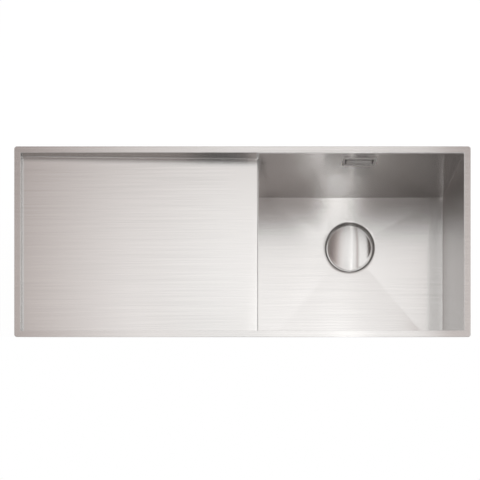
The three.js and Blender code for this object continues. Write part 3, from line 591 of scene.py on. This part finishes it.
def make_flange():
    """The pressed flange: lip, cone and cup, with a perforated floor."""
    screw_hole = 0.0034
    outline = [(screw_hole, cup_floor - SHEET), (CUP_RADIUS, cup_floor - SHEET),
               (CUP_RADIUS, lip_top - SHEET - SHOULDER), (CUP_RADIUS + SHOULDER - SHEET, lip_top - SHEET),
               (lip_reach, lip_top - SHEET), (lip_reach, lip_top), (cup_inside + SHOULDER, lip_top),
               (cup_inside, lip_top - SHOULDER), (cup_inside, cup_floor), (screw_hole, cup_floor)]
    radii = [0, 0.002, 0.001, 0.0005, 0.0002, 0.0006, 0.0012, 0.0012, 0.0014, 0]
    piece = turned("flange_cup", outline, radii, 160, "strainer_flange")
    low, high = cup_floor - 0.003, cup_floor + 0.003
    return cut_from(piece, [drill_comb(12, 0.031, 0.0032, low, high),
                            drill_comb(6, 0.017, 0.0032, low, high)])


def make_basket():
    """The strainer basket with its wall slots, floor holes and centre post."""
    top, wall, inner = lip_top - GAP, basket_wall, basket_wall - SHEET
    floor = cup_floor + 0.007
    outline = [(AXIS, floor - SHEET), (wall, floor - SHEET), (wall, top - SHOULDER - 0.001),
               (basket_reach - SHOULDER + 0.0004, top - SHOULDER), (basket_reach, top - 0.0004),
               (basket_reach - 0.0006, top), (inner + 0.001, top - SHOULDER + 0.0015),
               (inner, top - SHOULDER - 0.001), (inner, floor), (POST_RADIUS, floor),
               (POST_RADIUS, basket_high.z), (AXIS, basket_high.z)]
    radii = [0, 0.003, 0.0006, 0.0006, 0, 0.0002, 0.001, 0.001, 0.0024, 0.0008, 0.0008, 0]
    piece = turned("basket_cup", outline, radii, 120, "strainer_basket")
    low, high = floor - 0.003, floor + 0.003
    slots = drill_comb(12, wall - 0.0015, 0.0016, floor + 0.008, top - 0.010)
    return cut_from(piece, [slots, drill_comb(14, 0.027, 0.0025, low, high),
                            drill_comb(8, 0.016, 0.0025, low, high)])


def make_cap():
    """A dome with a rolled edge and a socket for the basket's post.

    The dome's height falls with the square of the way out, as a shallow sphere's does."""
    bottom = lip_top + GAP
    roof = basket_high.z + GAP
    socket = POST_RADIUS + GAP
    hub, hub_foot = socket + 0.0016, bottom - 0.0006
    roll_radius = 0.0015
    roll_x = cap_reach - roll_radius

    def dome(r):
        return bottom + 0.0016 + CAP_RISE * (1 - (np.asarray(r) / cap_reach) ** 2)

    out = np.linspace(roll_x, AXIS, 26)
    under = np.linspace(hub, cap_reach - 0.003, 12)
    outline = np.vstack([
        [(AXIS, roof), (socket, roof), (socket, hub_foot), (hub, hub_foot)],
        np.column_stack([under, dome(under) - CAP_SHEET]),
        [(cap_reach - 0.001, bottom), (cap_reach - 0.0003, bottom), (cap_reach, bottom + 0.0003)],
        arc(roll_x, dome(roll_x) - roll_radius, roll_radius, 0, 0.34, 6), np.column_stack([out, dome(out)])])
    return build_grid("cap_dome", revolve(outline, 192), "strainer_cap", "brushed_cap")


make_flange()
make_basket()
make_cap()

# %% [markdown]
# ## The overflow
# The overflow is a flat frame on the back wall with a plate in its opening. Water goes in through
# the dark slit round the plate. Both are made like the rim, by carrying a section round a
# rectangle, here turned to stand upright in the wall.

# %% Build bezel and cover
cover_low, cover_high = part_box("overflow_cover")
BEZEL_HOLE = 0.0338    # half the length of the opening in the bezel
BEZEL_COLLAR = 0.0012  # thickness of its collar through the wall
COVER_SHEET = 0.0016


def upright_ring(section, half_long, half_high, radius):
    """Carries section points (inset, y) round a rectangle that stands across Y."""
    rings = []
    for inset, y in section:
        r = max(radius - inset, 0.0002)
        path = rect_path(inset - half_long, half_long - inset, inset - half_high, half_high - inset, r)
        rings.append(np.column_stack([path[:, 0] + drain[0], np.full(len(path), y), path[:, 1] + overflow_z]))
    return np.array(rings)


def make_bezel():
    """The frame in front of the wall and its collar through the wall's opening."""
    front, wall_face = bezel_low.y, half_y - GAP
    half_long, half_high = (bezel_high.x - bezel_low.x) / 2, (bezel_high.z - bezel_low.z) / 2
    inset = half_long - BEZEL_HOLE
    outline = [(0, wall_face), (0, front), (inset + BEZEL_COLLAR, front),
               (inset + BEZEL_COLLAR, bezel_high.y), (inset, bezel_high.y), (inset, wall_face)]
    section = rounded(outline, [0.0002, 0.0004, 0.0004, 0.0002, 0.0002, 0], 4)
    rings = upright_ring(section, half_long, half_high, 0.002)
    return build_grid("bezel_frame", rings, "overflow_bezel", "brushed_trim")


def make_cover():
    """The plate in the frame: a thin section carried round, so far in that it closes in the middle."""
    half_long, half_high = (cover_high.x - cover_low.x) / 2, (cover_high.z - cover_low.z) / 2
    front, back = cover_low.y, cover_low.y + COVER_SHEET
    outline = [(half_high - 1e-5, front), (0, front), (0, back), (half_high - 1e-5, back)]
    section = rounded(outline, [0, 0.0004, 0.0002, 0], 4)
    rings = upright_ring(section, half_long, half_high, 0.001)[::-1]
    return build_grid("cover_plate", rings, "overflow_cover", "brushed_trim", wrap_rows=False)


make_bezel()
make_cover()

# %% [markdown]
# ## The overflow hose
# Water from the overflow runs down a corrugated hose: straight down behind the bowl, round one
# bend and forward to the waste. A curve with a bevel would give a smooth tube. A sweep written out
# as an array gives each ring its own radius, so the ribs are a cosine along the way.

# %% Build the hose
HOSE_VALLEY = 0.0096  # radius between the ribs
HOSE_CUFF = 0.0107    # radius of its smooth ends
CUFF_LENGTH = 0.011   # their least length
CUFF_STEP = 0.0006    # length of the slope from cuff to ribs
HOSE_BORE = 0.008
HOSE_BEND = 0.045     # radius of the bend
HOSE_PITCH = 0.005    # from rib to rib
RIB_POINTS = 8        # rings for one rib


def hose_way(s, hose_y, low_z, drop):
    """Middle (y, z) and lean at the distance s: down, round a quarter turn, then forward."""
    turn = np.pi / 2 * HOSE_BEND
    lean = np.clip((s - drop) / HOSE_BEND, 0, np.pi / 2)
    run = np.maximum(s - drop - turn, 0)
    y = hose_y - HOSE_BEND * (1 - np.cos(lean)) - run
    z = low_z + HOSE_BEND * (1 - np.sin(lean)) + np.maximum(drop - s, 0)
    return y, z, lean


def make_hose():
    """Rings along the hose's way, out over the ribs and back through the bore."""
    low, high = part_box("overflow_hose")
    rib = (high.x - low.x) / 2
    hose_y, low_z = high.y - rib, low.z + rib
    drop = high.z - low_z - HOSE_BEND
    total = drop + np.pi / 2 * HOSE_BEND + hose_y - HOSE_BEND - low.y
    ribs = int((total - 2 * CUFF_LENGTH) / HOSE_PITCH)
    cuff = (total - ribs * HOSE_PITCH) / 2
    s = np.linspace(cuff, total - cuff, ribs * RIB_POINTS + 1)
    swell = HOSE_VALLEY + (rib - HOSE_VALLEY) * (0.5 - 0.5 * np.cos(2 * np.pi * (s - cuff) / HOSE_PITCH))
    back = np.linspace(total, 0, 40)
    s = np.concatenate([[0, cuff - CUFF_STEP], s, [total - cuff + CUFF_STEP, total], back])
    radius = np.concatenate([[HOSE_CUFF] * 2, swell, [HOSE_CUFF] * 2, np.full(40, HOSE_BORE)])
    y, z, lean = hose_way(s, hose_y, low_z, drop)
    angle = np.linspace(0, 2 * np.pi, 48, endpoint=False)
    side, out = np.outer(radius, np.cos(angle)), np.outer(radius, np.sin(angle))
    points = np.stack([(low.x + high.x) / 2 + side, y[:, None] + out * np.cos(lean)[:, None],
                       z[:, None] + out * np.sin(lean)[:, None]], -1)
    print("hose", round(total, 3), "m long,", ribs, "ribs")
    return build_grid("hose_ribbed", points, "overflow_hose", "hose_plastic")


make_hose()

# %% [markdown]
# ## Threads
# A thread is a helix, so its surface has a formula: the radius dips each time that the height, in
# turns of the pitch, less the share of the way round is a whole number. On the clamp screws the
# grid is bent to that formula. On the waste's outlet a ring with such an inner side cuts the thread.

# %% Build the clamp screws and the outlet's thread
SCREW_PITCH, SCREW_DEPTH = 0.0007, 0.00035
SCREW_TURN = 20                 # points round the screw
SCREW_HEAD = 0.0026             # height of its head
SCREW_TIP = 0.001               # length of the burr that keeps the nut on
SLOT = (0.004, 0.0006, 0.0012)  # half length, half width and depth of the driving slot
PIPE_RADIUS, PIPE_LENGTH = 0.0239, 0.022
PIPE_PITCH, PIPE_DEPTH = 0.00231, 0.0012
PIPE_TURN = 96                  # points round the pipe


def helix_radius(z, turn, radius, depth, pitch):
    """The radius less a share of the depth that is a cosine of the turns along the helix."""
    return radius - depth * (0.5 + 0.5 * np.cos(2 * np.pi * (z / pitch - turn / (2 * np.pi))))


def make_clamp_screw(node):
    """A round head with a driving slot, the thread, and the burr that keeps the screw in."""
    low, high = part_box(node)
    middle = ((low.x + high.x) / 2, (low.y + high.y) / 2)
    head = (high.x - low.x) / 2
    body, burr = head / 2, head * 0.75
    neck, tip = low.z + SCREW_HEAD, high.z - SCREW_TIP
    z = np.linspace(neck, tip, int((tip - neck) / SCREW_PITCH * 6))
    turn = np.linspace(0, 2 * np.pi, SCREW_TURN, endpoint=False)
    fade = np.clip(np.minimum(z - neck, tip - z) / SCREW_PITCH, 0, 1)
    thread = helix_radius(z[:, None], turn, body, SCREW_DEPTH, SCREW_PITCH)
    thread = body + (thread - body) * fade[:, None]
    start = rounded([(0, low.z), (head, low.z), (head, neck), (body, neck)], [0, 0.0008, 0.0003, 0], 4)[:-1]
    end = np.array([(burr, tip), (burr, high.z - 0.0002), (burr - 0.0002, high.z), (0, high.z)])
    radius = np.vstack([np.repeat(start[:, :1], SCREW_TURN, 1), thread, np.repeat(end[:, :1], SCREW_TURN, 1)])
    points = round_grid(radius, turn, np.concatenate([start[:, 1], z, end[:, 1]]), middle)
    piece = build_grid(node + "_threaded", points, node, "zinc_steel", wrap_rows=False)
    corner = np.array([(i, j, k) for k in (-1, 1) for j in (-1, 1) for i in (-1, 1)], float)
    sides = [(0, 2, 3, 1), (4, 5, 7, 6), (0, 1, 5, 4), (2, 6, 7, 3), (0, 4, 6, 2), (1, 3, 7, 5)]
    return cut_from(piece, [new_object("driving_slot", corner * SLOT + (*middle, low.z), sides)])


for screw in sorted(name for name in nodes if name.startswith("clamp") and name.endswith("screw")):
    make_clamp_screw(screw)


def make_outlet():
    """The waste body with a pipe thread cut into its outlet by a ring with a helical inside."""
    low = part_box("waste_body")[0]
    mesh = nodes["waste_body"].data
    corners = numbers(mesh.loops, "vertex_index", kind=np.int32)
    piece = build("waste_casting", numbers(mesh.vertices, "co", 3), corners.reshape(-1, 3), "waste_body",
                  "grey_plastic")
    turn = np.linspace(0, 2 * np.pi, PIPE_TURN, endpoint=False)
    z = np.linspace(low.z - 0.001, low.z + PIPE_LENGTH, 90)
    fade = np.clip((low.z + PIPE_LENGTH - z) / PIPE_PITCH, 0, 1)[:, None]
    thread = helix_radius(z[:, None], turn, PIPE_RADIUS, PIPE_DEPTH, PIPE_PITCH)
    inner = PIPE_RADIUS + 0.0001 + (thread - PIPE_RADIUS) * fade
    rings = np.vstack([inner, np.full((2, PIPE_TURN), PIPE_RADIUS + 0.002)])
    points = round_grid(rings, turn, np.concatenate([z, [z[-1], z[0]]]), drain)
    faces = grid_faces(*points.shape[:2], wrap_rows=True, wrap_cols=True)
    return cut_from(piece, [new_object("thread_ring", points.reshape(-1, 3), faces[:, ::-1].tolist())])


make_outlet()

# %% [markdown]
# ## Finishes
# The steel was brushed in one direction and then folded and welded. The many fine lines make its
# shine long across them and short along them, which is what the anisotropic shader works out, so
# no line has to be drawn for it. A finish is a small graph of nodes. The helpers make the graphs
# short to write. Every pattern reads either the brushing map made above or the object's own
# coordinates, so it stays with the piece.

# %% Node helpers
def add(tree, kind, inputs=None, **settings):
    """Adds a shader node, sets its properties, and sets or links its inputs by name or number."""
    node = tree.nodes.new("ShaderNode" + kind)
    for key, value in settings.items():
        setattr(node, key, value)
    for key, value in (inputs or {}).items():
        if isinstance(value, bpy.types.NodeSocket):
            tree.links.new(value, node.inputs[key])
        else:
            node.inputs[key].default_value = value
    return node


def worked(tree, operation, *values, **settings):
    """A number worked out from up to three others."""
    return add(tree, "Math", dict(enumerate(values)), operation=operation, **settings).outputs[0]


def ramp(tree, factor, stops):
    """A curve through (place, value) stops, as a colour ramp. A value is a grey or a colour."""
    node = add(tree, "ValToRGB", {"Fac": factor})
    while len(node.color_ramp.elements) < len(stops):
        node.color_ramp.elements.new(0.5)
    for element, (place, value) in zip(node.color_ramp.elements, stops):
        element.position = place
        element.color = (value, value, value, 1) if np.isscalar(value) else (*value, 1)
    return node.outputs["Color"]


def noise(tree, where, scale, detail):
    """A cloudy pattern between 0 and 1."""
    return add(tree, "TexNoise", {"Vector": where, "Scale": scale, "Detail": detail}).outputs["Fac"]


def toned(tree, factor, low, high, tone, vary):
    """A tone that goes from darker to lighter by the share vary while the factor goes from low to high."""
    return ramp(tree, factor, [(low, tuple(c * (1 - vary) for c in tone)),
                               (high, tuple(min(1.0, c * (1 + vary)) for c in tone))])


def new_material(name, **sockets):
    """A material with one main shader. Sockets are named with underscores for spaces."""
    material = bpy.data.materials.new(name)
    material.use_nodes = True
    tree = material.node_tree
    shader = tree.nodes["Principled BSDF"]
    for key, value in sockets.items():
        shader.inputs[key.replace("_", " ")].default_value = value
    return material, tree, shader


# %% Make the finishes and put them on
STEEL = (0.72, 0.712, 0.703)
TRIM = (0.95, 0.94, 0.93)  # the overflow's small plates, a paler plated steel
SIDE_WALL_PAINTED_SHADE = 0.66             # painted shade: what is left of a tone on walls that face along X, darkened for the shade they are in


def brushed(name, tint=STEEL, rough=0.21, flat=None, lean=(0.0, 0.0), streak=0.05, metallic=1.0):
    """Brushed steel: a sharp shine along the lines and a wide one across them, with hair lines.

    Where flat is given, the slope shrinks to these shares along X and Y and leans by lean, as on a
    gently pressed dome that sits a little askew."""
    material, tree, shader = new_material(name, Metallic=metallic, Roughness=rough, Anisotropic=1.0)
    shader.inputs["Anisotropic Rotation"].default_value = 0.25
    tangent = add(tree, "Tangent", direction_type="UV_MAP", uv_map="brushing").outputs[0]
    tree.links.new(tangent, shader.inputs["Tangent"])
    where = add(tree, "UVMap", uv_map="brushing").outputs[0]
    normal = add(tree, "NewGeometry").outputs["Normal"]

    def lines(along, over, detail):
        stretch = add(tree, "Mapping", {"Vector": where, "Scale": (along, over, 1.0)}).outputs[0]
        return noise(tree, stretch, 1.0, detail)

    if flat:
        lower = add(tree, "VectorMath", {0: normal, 1: (*flat, 1.0), 2: (*lean, 0.0)},
                    operation="MULTIPLY_ADD").outputs[0]
        unit = add(tree, "VectorMath", {0: lower}, operation="NORMALIZE").outputs[0]
        tree.links.new(unit, shader.inputs["Normal"])
    coarse, fine = lines(3.0, 500.0, 3.0), lines(5.0, 1600.0, 2.0)
    both = add(tree, "Mix", {0: 0.4, 2: coarse, 3: fine}).outputs[0]
    lined = toned(tree, both, 0.36, 0.64, tint, streak)
    facing = add(tree, "SeparateXYZ", {0: normal})
    aside = worked(tree, "ABSOLUTE", facing.outputs["X"])
    # Painted shade: the tone is made darker on walls that face along X, for the shade that falls on them.
    painted_side_shade = add(tree, "MapRange", {0: aside, 1: 0.6, 2: 1.0, 3: 1.0, 4: SIDE_WALL_PAINTED_SHADE}).outputs[0]
    tone = add(tree, "VectorMath", {0: lined, "Scale": painted_side_shade}, operation="SCALE").outputs[0]
    tree.links.new(tone, shader.inputs["Base Color"])
    return material


def textured(name, tone, rough, grain, vary=0.1, relief=0.0, cells=False, edge=0.0006, metallic=0.0):
    """A plain stuff: its tone and shine vary with a fine grain and wide clouds, its edges are soft."""
    material, tree, shader = new_material(name, Metallic=metallic)
    place = add(tree, "TexCoord").outputs["Object"]
    if cells:
        fine = add(tree, "TexVoronoi", {"Vector": place, "Scale": grain}).outputs["Distance"]
    else:
        fine = noise(tree, place, grain, 4.0)
    both = add(tree, "Mix", {0: 0.5, 2: fine, 3: noise(tree, place, grain / 30, 2.0)}).outputs[0]
    shine = add(tree, "MapRange", {0: both, 1: 0.3, 2: 0.7, 3: rough - 0.05, 4: rough + 0.05})
    edges = add(tree, "Bevel", {"Radius": edge}, samples=4)
    bump = add(tree, "Bump", {"Height": fine, "Distance": relief, "Normal": edges.outputs[0]})
    tree.links.new(toned(tree, both, 0.3, 0.7, tone, vary), shader.inputs["Base Color"])
    tree.links.new(shine.outputs[0], shader.inputs["Roughness"])
    tree.links.new(bump.outputs[0], shader.inputs["Normal"])
    return material


made = [
    brushed("brushed_sheet"),
    brushed("brushed_rim"),
    brushed("brushed_cap", rough=0.22, flat=(0.86, 0.1), lean=(-0.05, -0.06), streak=0.02),
    brushed("brushed_trim", TRIM, rough=0.5, streak=0.02, metallic=0.4),
    textured("polished_steel", STEEL, 0.16, 700.0, 0.03, 0.00001, edge=0.0002, metallic=1.0),
    textured("zinc_steel", (0.58, 0.60, 0.62), 0.38, 260.0, 0.14, 0.00002, cells=True, metallic=1.0),
    textured("black_rubber", (0.025, 0.025, 0.026), 0.62, 900.0, 0.2, 0.00003),
    textured("foam_rubber", (0.05, 0.05, 0.052), 0.9, 1400.0, 0.35, 0.0002, cells=True),
    textured("grey_plastic", (0.42, 0.425, 0.43), 0.42, 1200.0, 0.05, 0.00002),
    textured("hose_plastic", (0.60, 0.60, 0.59), 0.45, 500.0, 0.05, 0.00001),
    textured("damping_pad", (0.17, 0.17, 0.175), 0.88, 600.0, 0.2, 0.00012),
]
# Some names are taken by the loaded pieces' stuffs, so Blender adds a number to them.
finish = {material.name.split(".")[0]: material for material in made}
slots = {row["node"]: row["material_slot"] for row in frame["record"]["subparts"]}
dressed = [(node, slots[name]) for name, node in nodes.items()]
dressed += [(piece, piece["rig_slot"]) for piece in scene.objects
            if piece.type == "MESH" and "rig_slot" in piece and piece.name not in nodes]
for piece, slot in dressed:
    piece.data.materials.clear()
    piece.data.materials.append(finish[slot])
print(len(finish), "finishes on", len(dressed), "meshes")

# %% [markdown]
# ## The studio
# Steel shows what stands round it, so the picture tells what that was. One large soft light hung
# over the sink and behind it. It falls off to both sides and to the back, is about three times
# darker towards the camera, and has a dark gap where the camera and its stand were. A narrow
# bright strip in it makes the light band on the bowl's back wall. Lamps of the right sizes would
# do, but each edge in the steel would need one more lamp. So the light is one plane, and its
# brightness is a sum of patches, each a curve along X times a curve along Y. Dark parts of the
# light are warmer. The floor and the low sky are white for the camera and, less so, for mirrors.

# %% World and floor
def studio_material(name):
    """A material without a shader yet, and its tree."""
    material = bpy.data.materials.new(name)
    material.use_nodes = True
    material.node_tree.nodes.clear()
    return material, material.node_tree


def show(tree, share, first, second):
    """Mixes two shaders by a share of the second and makes the mix the material's surface."""
    mixed = add(tree, "MixShader", {0: share, 1: first, 2: second})
    return add(tree, "OutputMaterial", {0: mixed.outputs[0]})


def mirrors(tree, rays):
    """1 for what is seen in metal or through glass."""
    return worked(tree, "ADD", rays["Is Glossy Ray"], rays["Is Transmission Ray"])


def stage_plane(name, x0, x1, y0, y1, z, material):
    """A flat piece of the studio, with none of the sink's bodies as its parent."""
    plane = new_object(name, np.array([(x0, y0, z), (x1, y0, z), (x1, y1, z), (x0, y1, z)]), [(0, 1, 2, 3)])
    plane.data.materials.append(material)
    return plane


world = bpy.data.worlds.new("studio")
scene.world = world
world.use_nodes = True
sky = world.node_tree
sky.nodes.clear()
place = add(sky, "TexCoord")
rays = add(sky, "LightPath").outputs
up = add(sky, "SeparateXYZ", {0: place.outputs["Generated"]}).outputs["Z"]
room = ramp(sky, up, [(0.0, (0.2, 0.17, 0.155)), (0.5, (0.1, 0.085, 0.077)), (0.9, (0.06, 0.053, 0.05))])
low_sky = ramp(sky, up, [(0.0, 0.8), (0.34, 0.75), (0.48, 0.4), (0.6, 0.0)])
share = worked(sky, "ADD", rays["Is Camera Ray"], worked(sky, "MULTIPLY", mirrors(sky, rays), low_sky),
               use_clamp=True)
seen = add(sky, "Mix", {0: share, 6: room, 7: (1, 1, 1, 1)}, data_type="RGBA")
back = add(sky, "Background", {"Color": seen.outputs[2], "Strength": 1.0})
add(sky, "OutputWorld", {0: back.outputs[0]})

# Mostly glow for the camera, the rest takes the shadow. Clear from below.
floor_finish, tree = studio_material("floor")
rays = add(tree, "LightPath").outputs
side = add(tree, "NewGeometry").outputs
share = worked(tree, "MULTIPLY_ADD", rays["Is Camera Ray"], 0.88,
               worked(tree, "MULTIPLY", mirrors(tree, rays), 0.45))
matt = add(tree, "BsdfDiffuse", {"Color": (0.8, 0.8, 0.8, 1)}).outputs[0]
glow = add(tree, "Emission", {"Color": (1, 1, 1, 1), "Strength": 1.1}).outputs[0]
clear = add(tree, "BsdfTransparent").outputs[0]
floor = add(tree, "MixShader", {0: share, 1: matt, 2: glow}).outputs[0]
show(tree, worked(tree, "MULTIPLY", rays["Is Camera Ray"], side["Backfacing"]), floor, clear)
floor_level = cad_low.z - 0.0005
stage_plane("floor", -4, 4, -4, 4, floor_level, floor_finish)
print("floor at", round(floor_level, 4))

# %% The soft light
MAIN, FRONT, STRIP = 1.56, 1.2, 5.2  # how bright each patch of the light is
REACH = 3.0                          # the curves go from -REACH to REACH metres
LIGHT_HEIGHT = 2.0
box_finish, tree = studio_material("softbox")
parts = add(tree, "SeparateXYZ", {0: add(tree, "TexCoord").outputs["Object"]}).outputs
spread = {1: -REACH, 2: REACH, 3: 0.0, 4: 1.0}
along_x = add(tree, "MapRange", {0: parts["X"], **spread}).outputs[0]
along_y = add(tree, "MapRange", {0: parts["Y"], **spread}).outputs[0]


def curve(along, stops):
    """Brightness along one axis, through (metres, value) stops."""
    return ramp(tree, along, [(0.5 + metres / 2 / REACH, value) for metres, value in stops])


def product(a, b):
    """One curve times another."""
    return worked(tree, "MULTIPLY", a, b)


main_x = curve(along_x, [(-1.9, 0.2), (-1.5, 0.27), (-1.1, 0.45), (-0.95, 0.55), (-0.725, 0.7), (-0.5, 0.83),
                         (-0.2, 0.965), (0.0, 1.035), (0.3, 1.0), (0.85, 0.92), (0.97, 0.58), (1.1, 0.57),
                         (1.22, 1.0), (2.7, 1.0)])
main_y = curve(along_y, [(-0.25, 0.0), (0.0, 1.0), (0.5, 1.0), (0.82, 0.965), (0.96, 0.905), (1.11, 0.8),
                         (1.3, 0.67), (1.6, 0.58), (2.0, 0.3), (2.4, 0.0)])
front_x = curve(along_x, [(-2.0, 0.25), (-0.5, 0.32), (-0.19, 0.32), (-0.14, 0.0), (0.07, 0.0), (0.14, 0.35),
                          (0.3, 0.36), (0.6, 0.25), (0.9, 0.08), (1.3, 0.04)])
front_y = curve(along_y, [(-1.75, 1.0), (-0.4, 1.0), (0.0, 0.0)])
strip_x = curve(along_x, [(0.39, 0.0), (0.44, 1.0), (0.53, 1.0), (0.585, 0.0)])
strip_y = curve(along_y, [(-1.22, 0.0), (-0.98, 0.85), (-0.5, 0.7), (-0.15, 0.12), (0.1, 0.0)])
past_stand = worked(tree, "MAXIMUM", curve(along_x, [(-0.4, 1.0), (-0.25, 0.05), (0.06, 0.05), (0.14, 1.0)]),
                    curve(along_y, [(-0.05, 0.0), (0.15, 1.0)]))
overhead = product(product(product(main_x, main_y), past_stand), MAIN)
towards_camera = worked(tree, "ADD", product(product(front_x, front_y), FRONT),
                        product(product(strip_x, strip_y), STRIP))
level = worked(tree, "ADD", overhead, towards_camera)
warmth = ramp(tree, product(level, 1 / MAIN), [
    (0.1, (1, 0.82, 0.75)), (0.28, (1, 0.86, 0.825)), (0.55, (1, 0.92, 0.895)), (0.75, (1, 0.965, 0.955)),
    (0.95, (1, 1, 0.995))])
glow = add(tree, "Emission", {"Color": warmth, "Strength": level}).outputs[0]
clear = add(tree, "BsdfTransparent").outputs[0]
show(tree, add(tree, "LightPath").outputs["Is Camera Ray"], glow, clear)
stage_plane("softbox", -2.4, 2.8, -1.8, 2.4, LIGHT_HEIGHT, box_finish)
print("soft light at", LIGHT_HEIGHT, "m")

# %% [markdown]
# ## The white in front of the rim
# The camera stands in front of the sink, so it would see the bowl's outer front wall below the
# rim's front edge. The picture has plain white there, as when a white card is held in front of
# the lens up to that edge. The card's edge lies on the line from the lens to the rim's edge.

# %% Hold the card
CARD_DROP = 0.15                    # below the lens
CARD_HALF, CARD_DEEP = 0.05, 0.033  # half its length along X, and its width
card_finish, tree = studio_material("card")
glow = add(tree, "Emission", {"Color": (1, 1, 1, 1), "Strength": 1.0}).outputs[0]
clear = add(tree, "BsdfTransparent").outputs[0]
show(tree, add(tree, "LightPath").outputs["Is Camera Ray"], clear, glow)
card_edge = foot_y + (rim_low.y - foot_y) * CARD_DROP / (eye_z - rim_low.z)
stage_plane("card", -CARD_HALF, CARD_HALF, card_edge - CARD_DEEP, card_edge, eye_z - CARD_DROP, card_finish)
print("card edge", round(card_edge, 4))
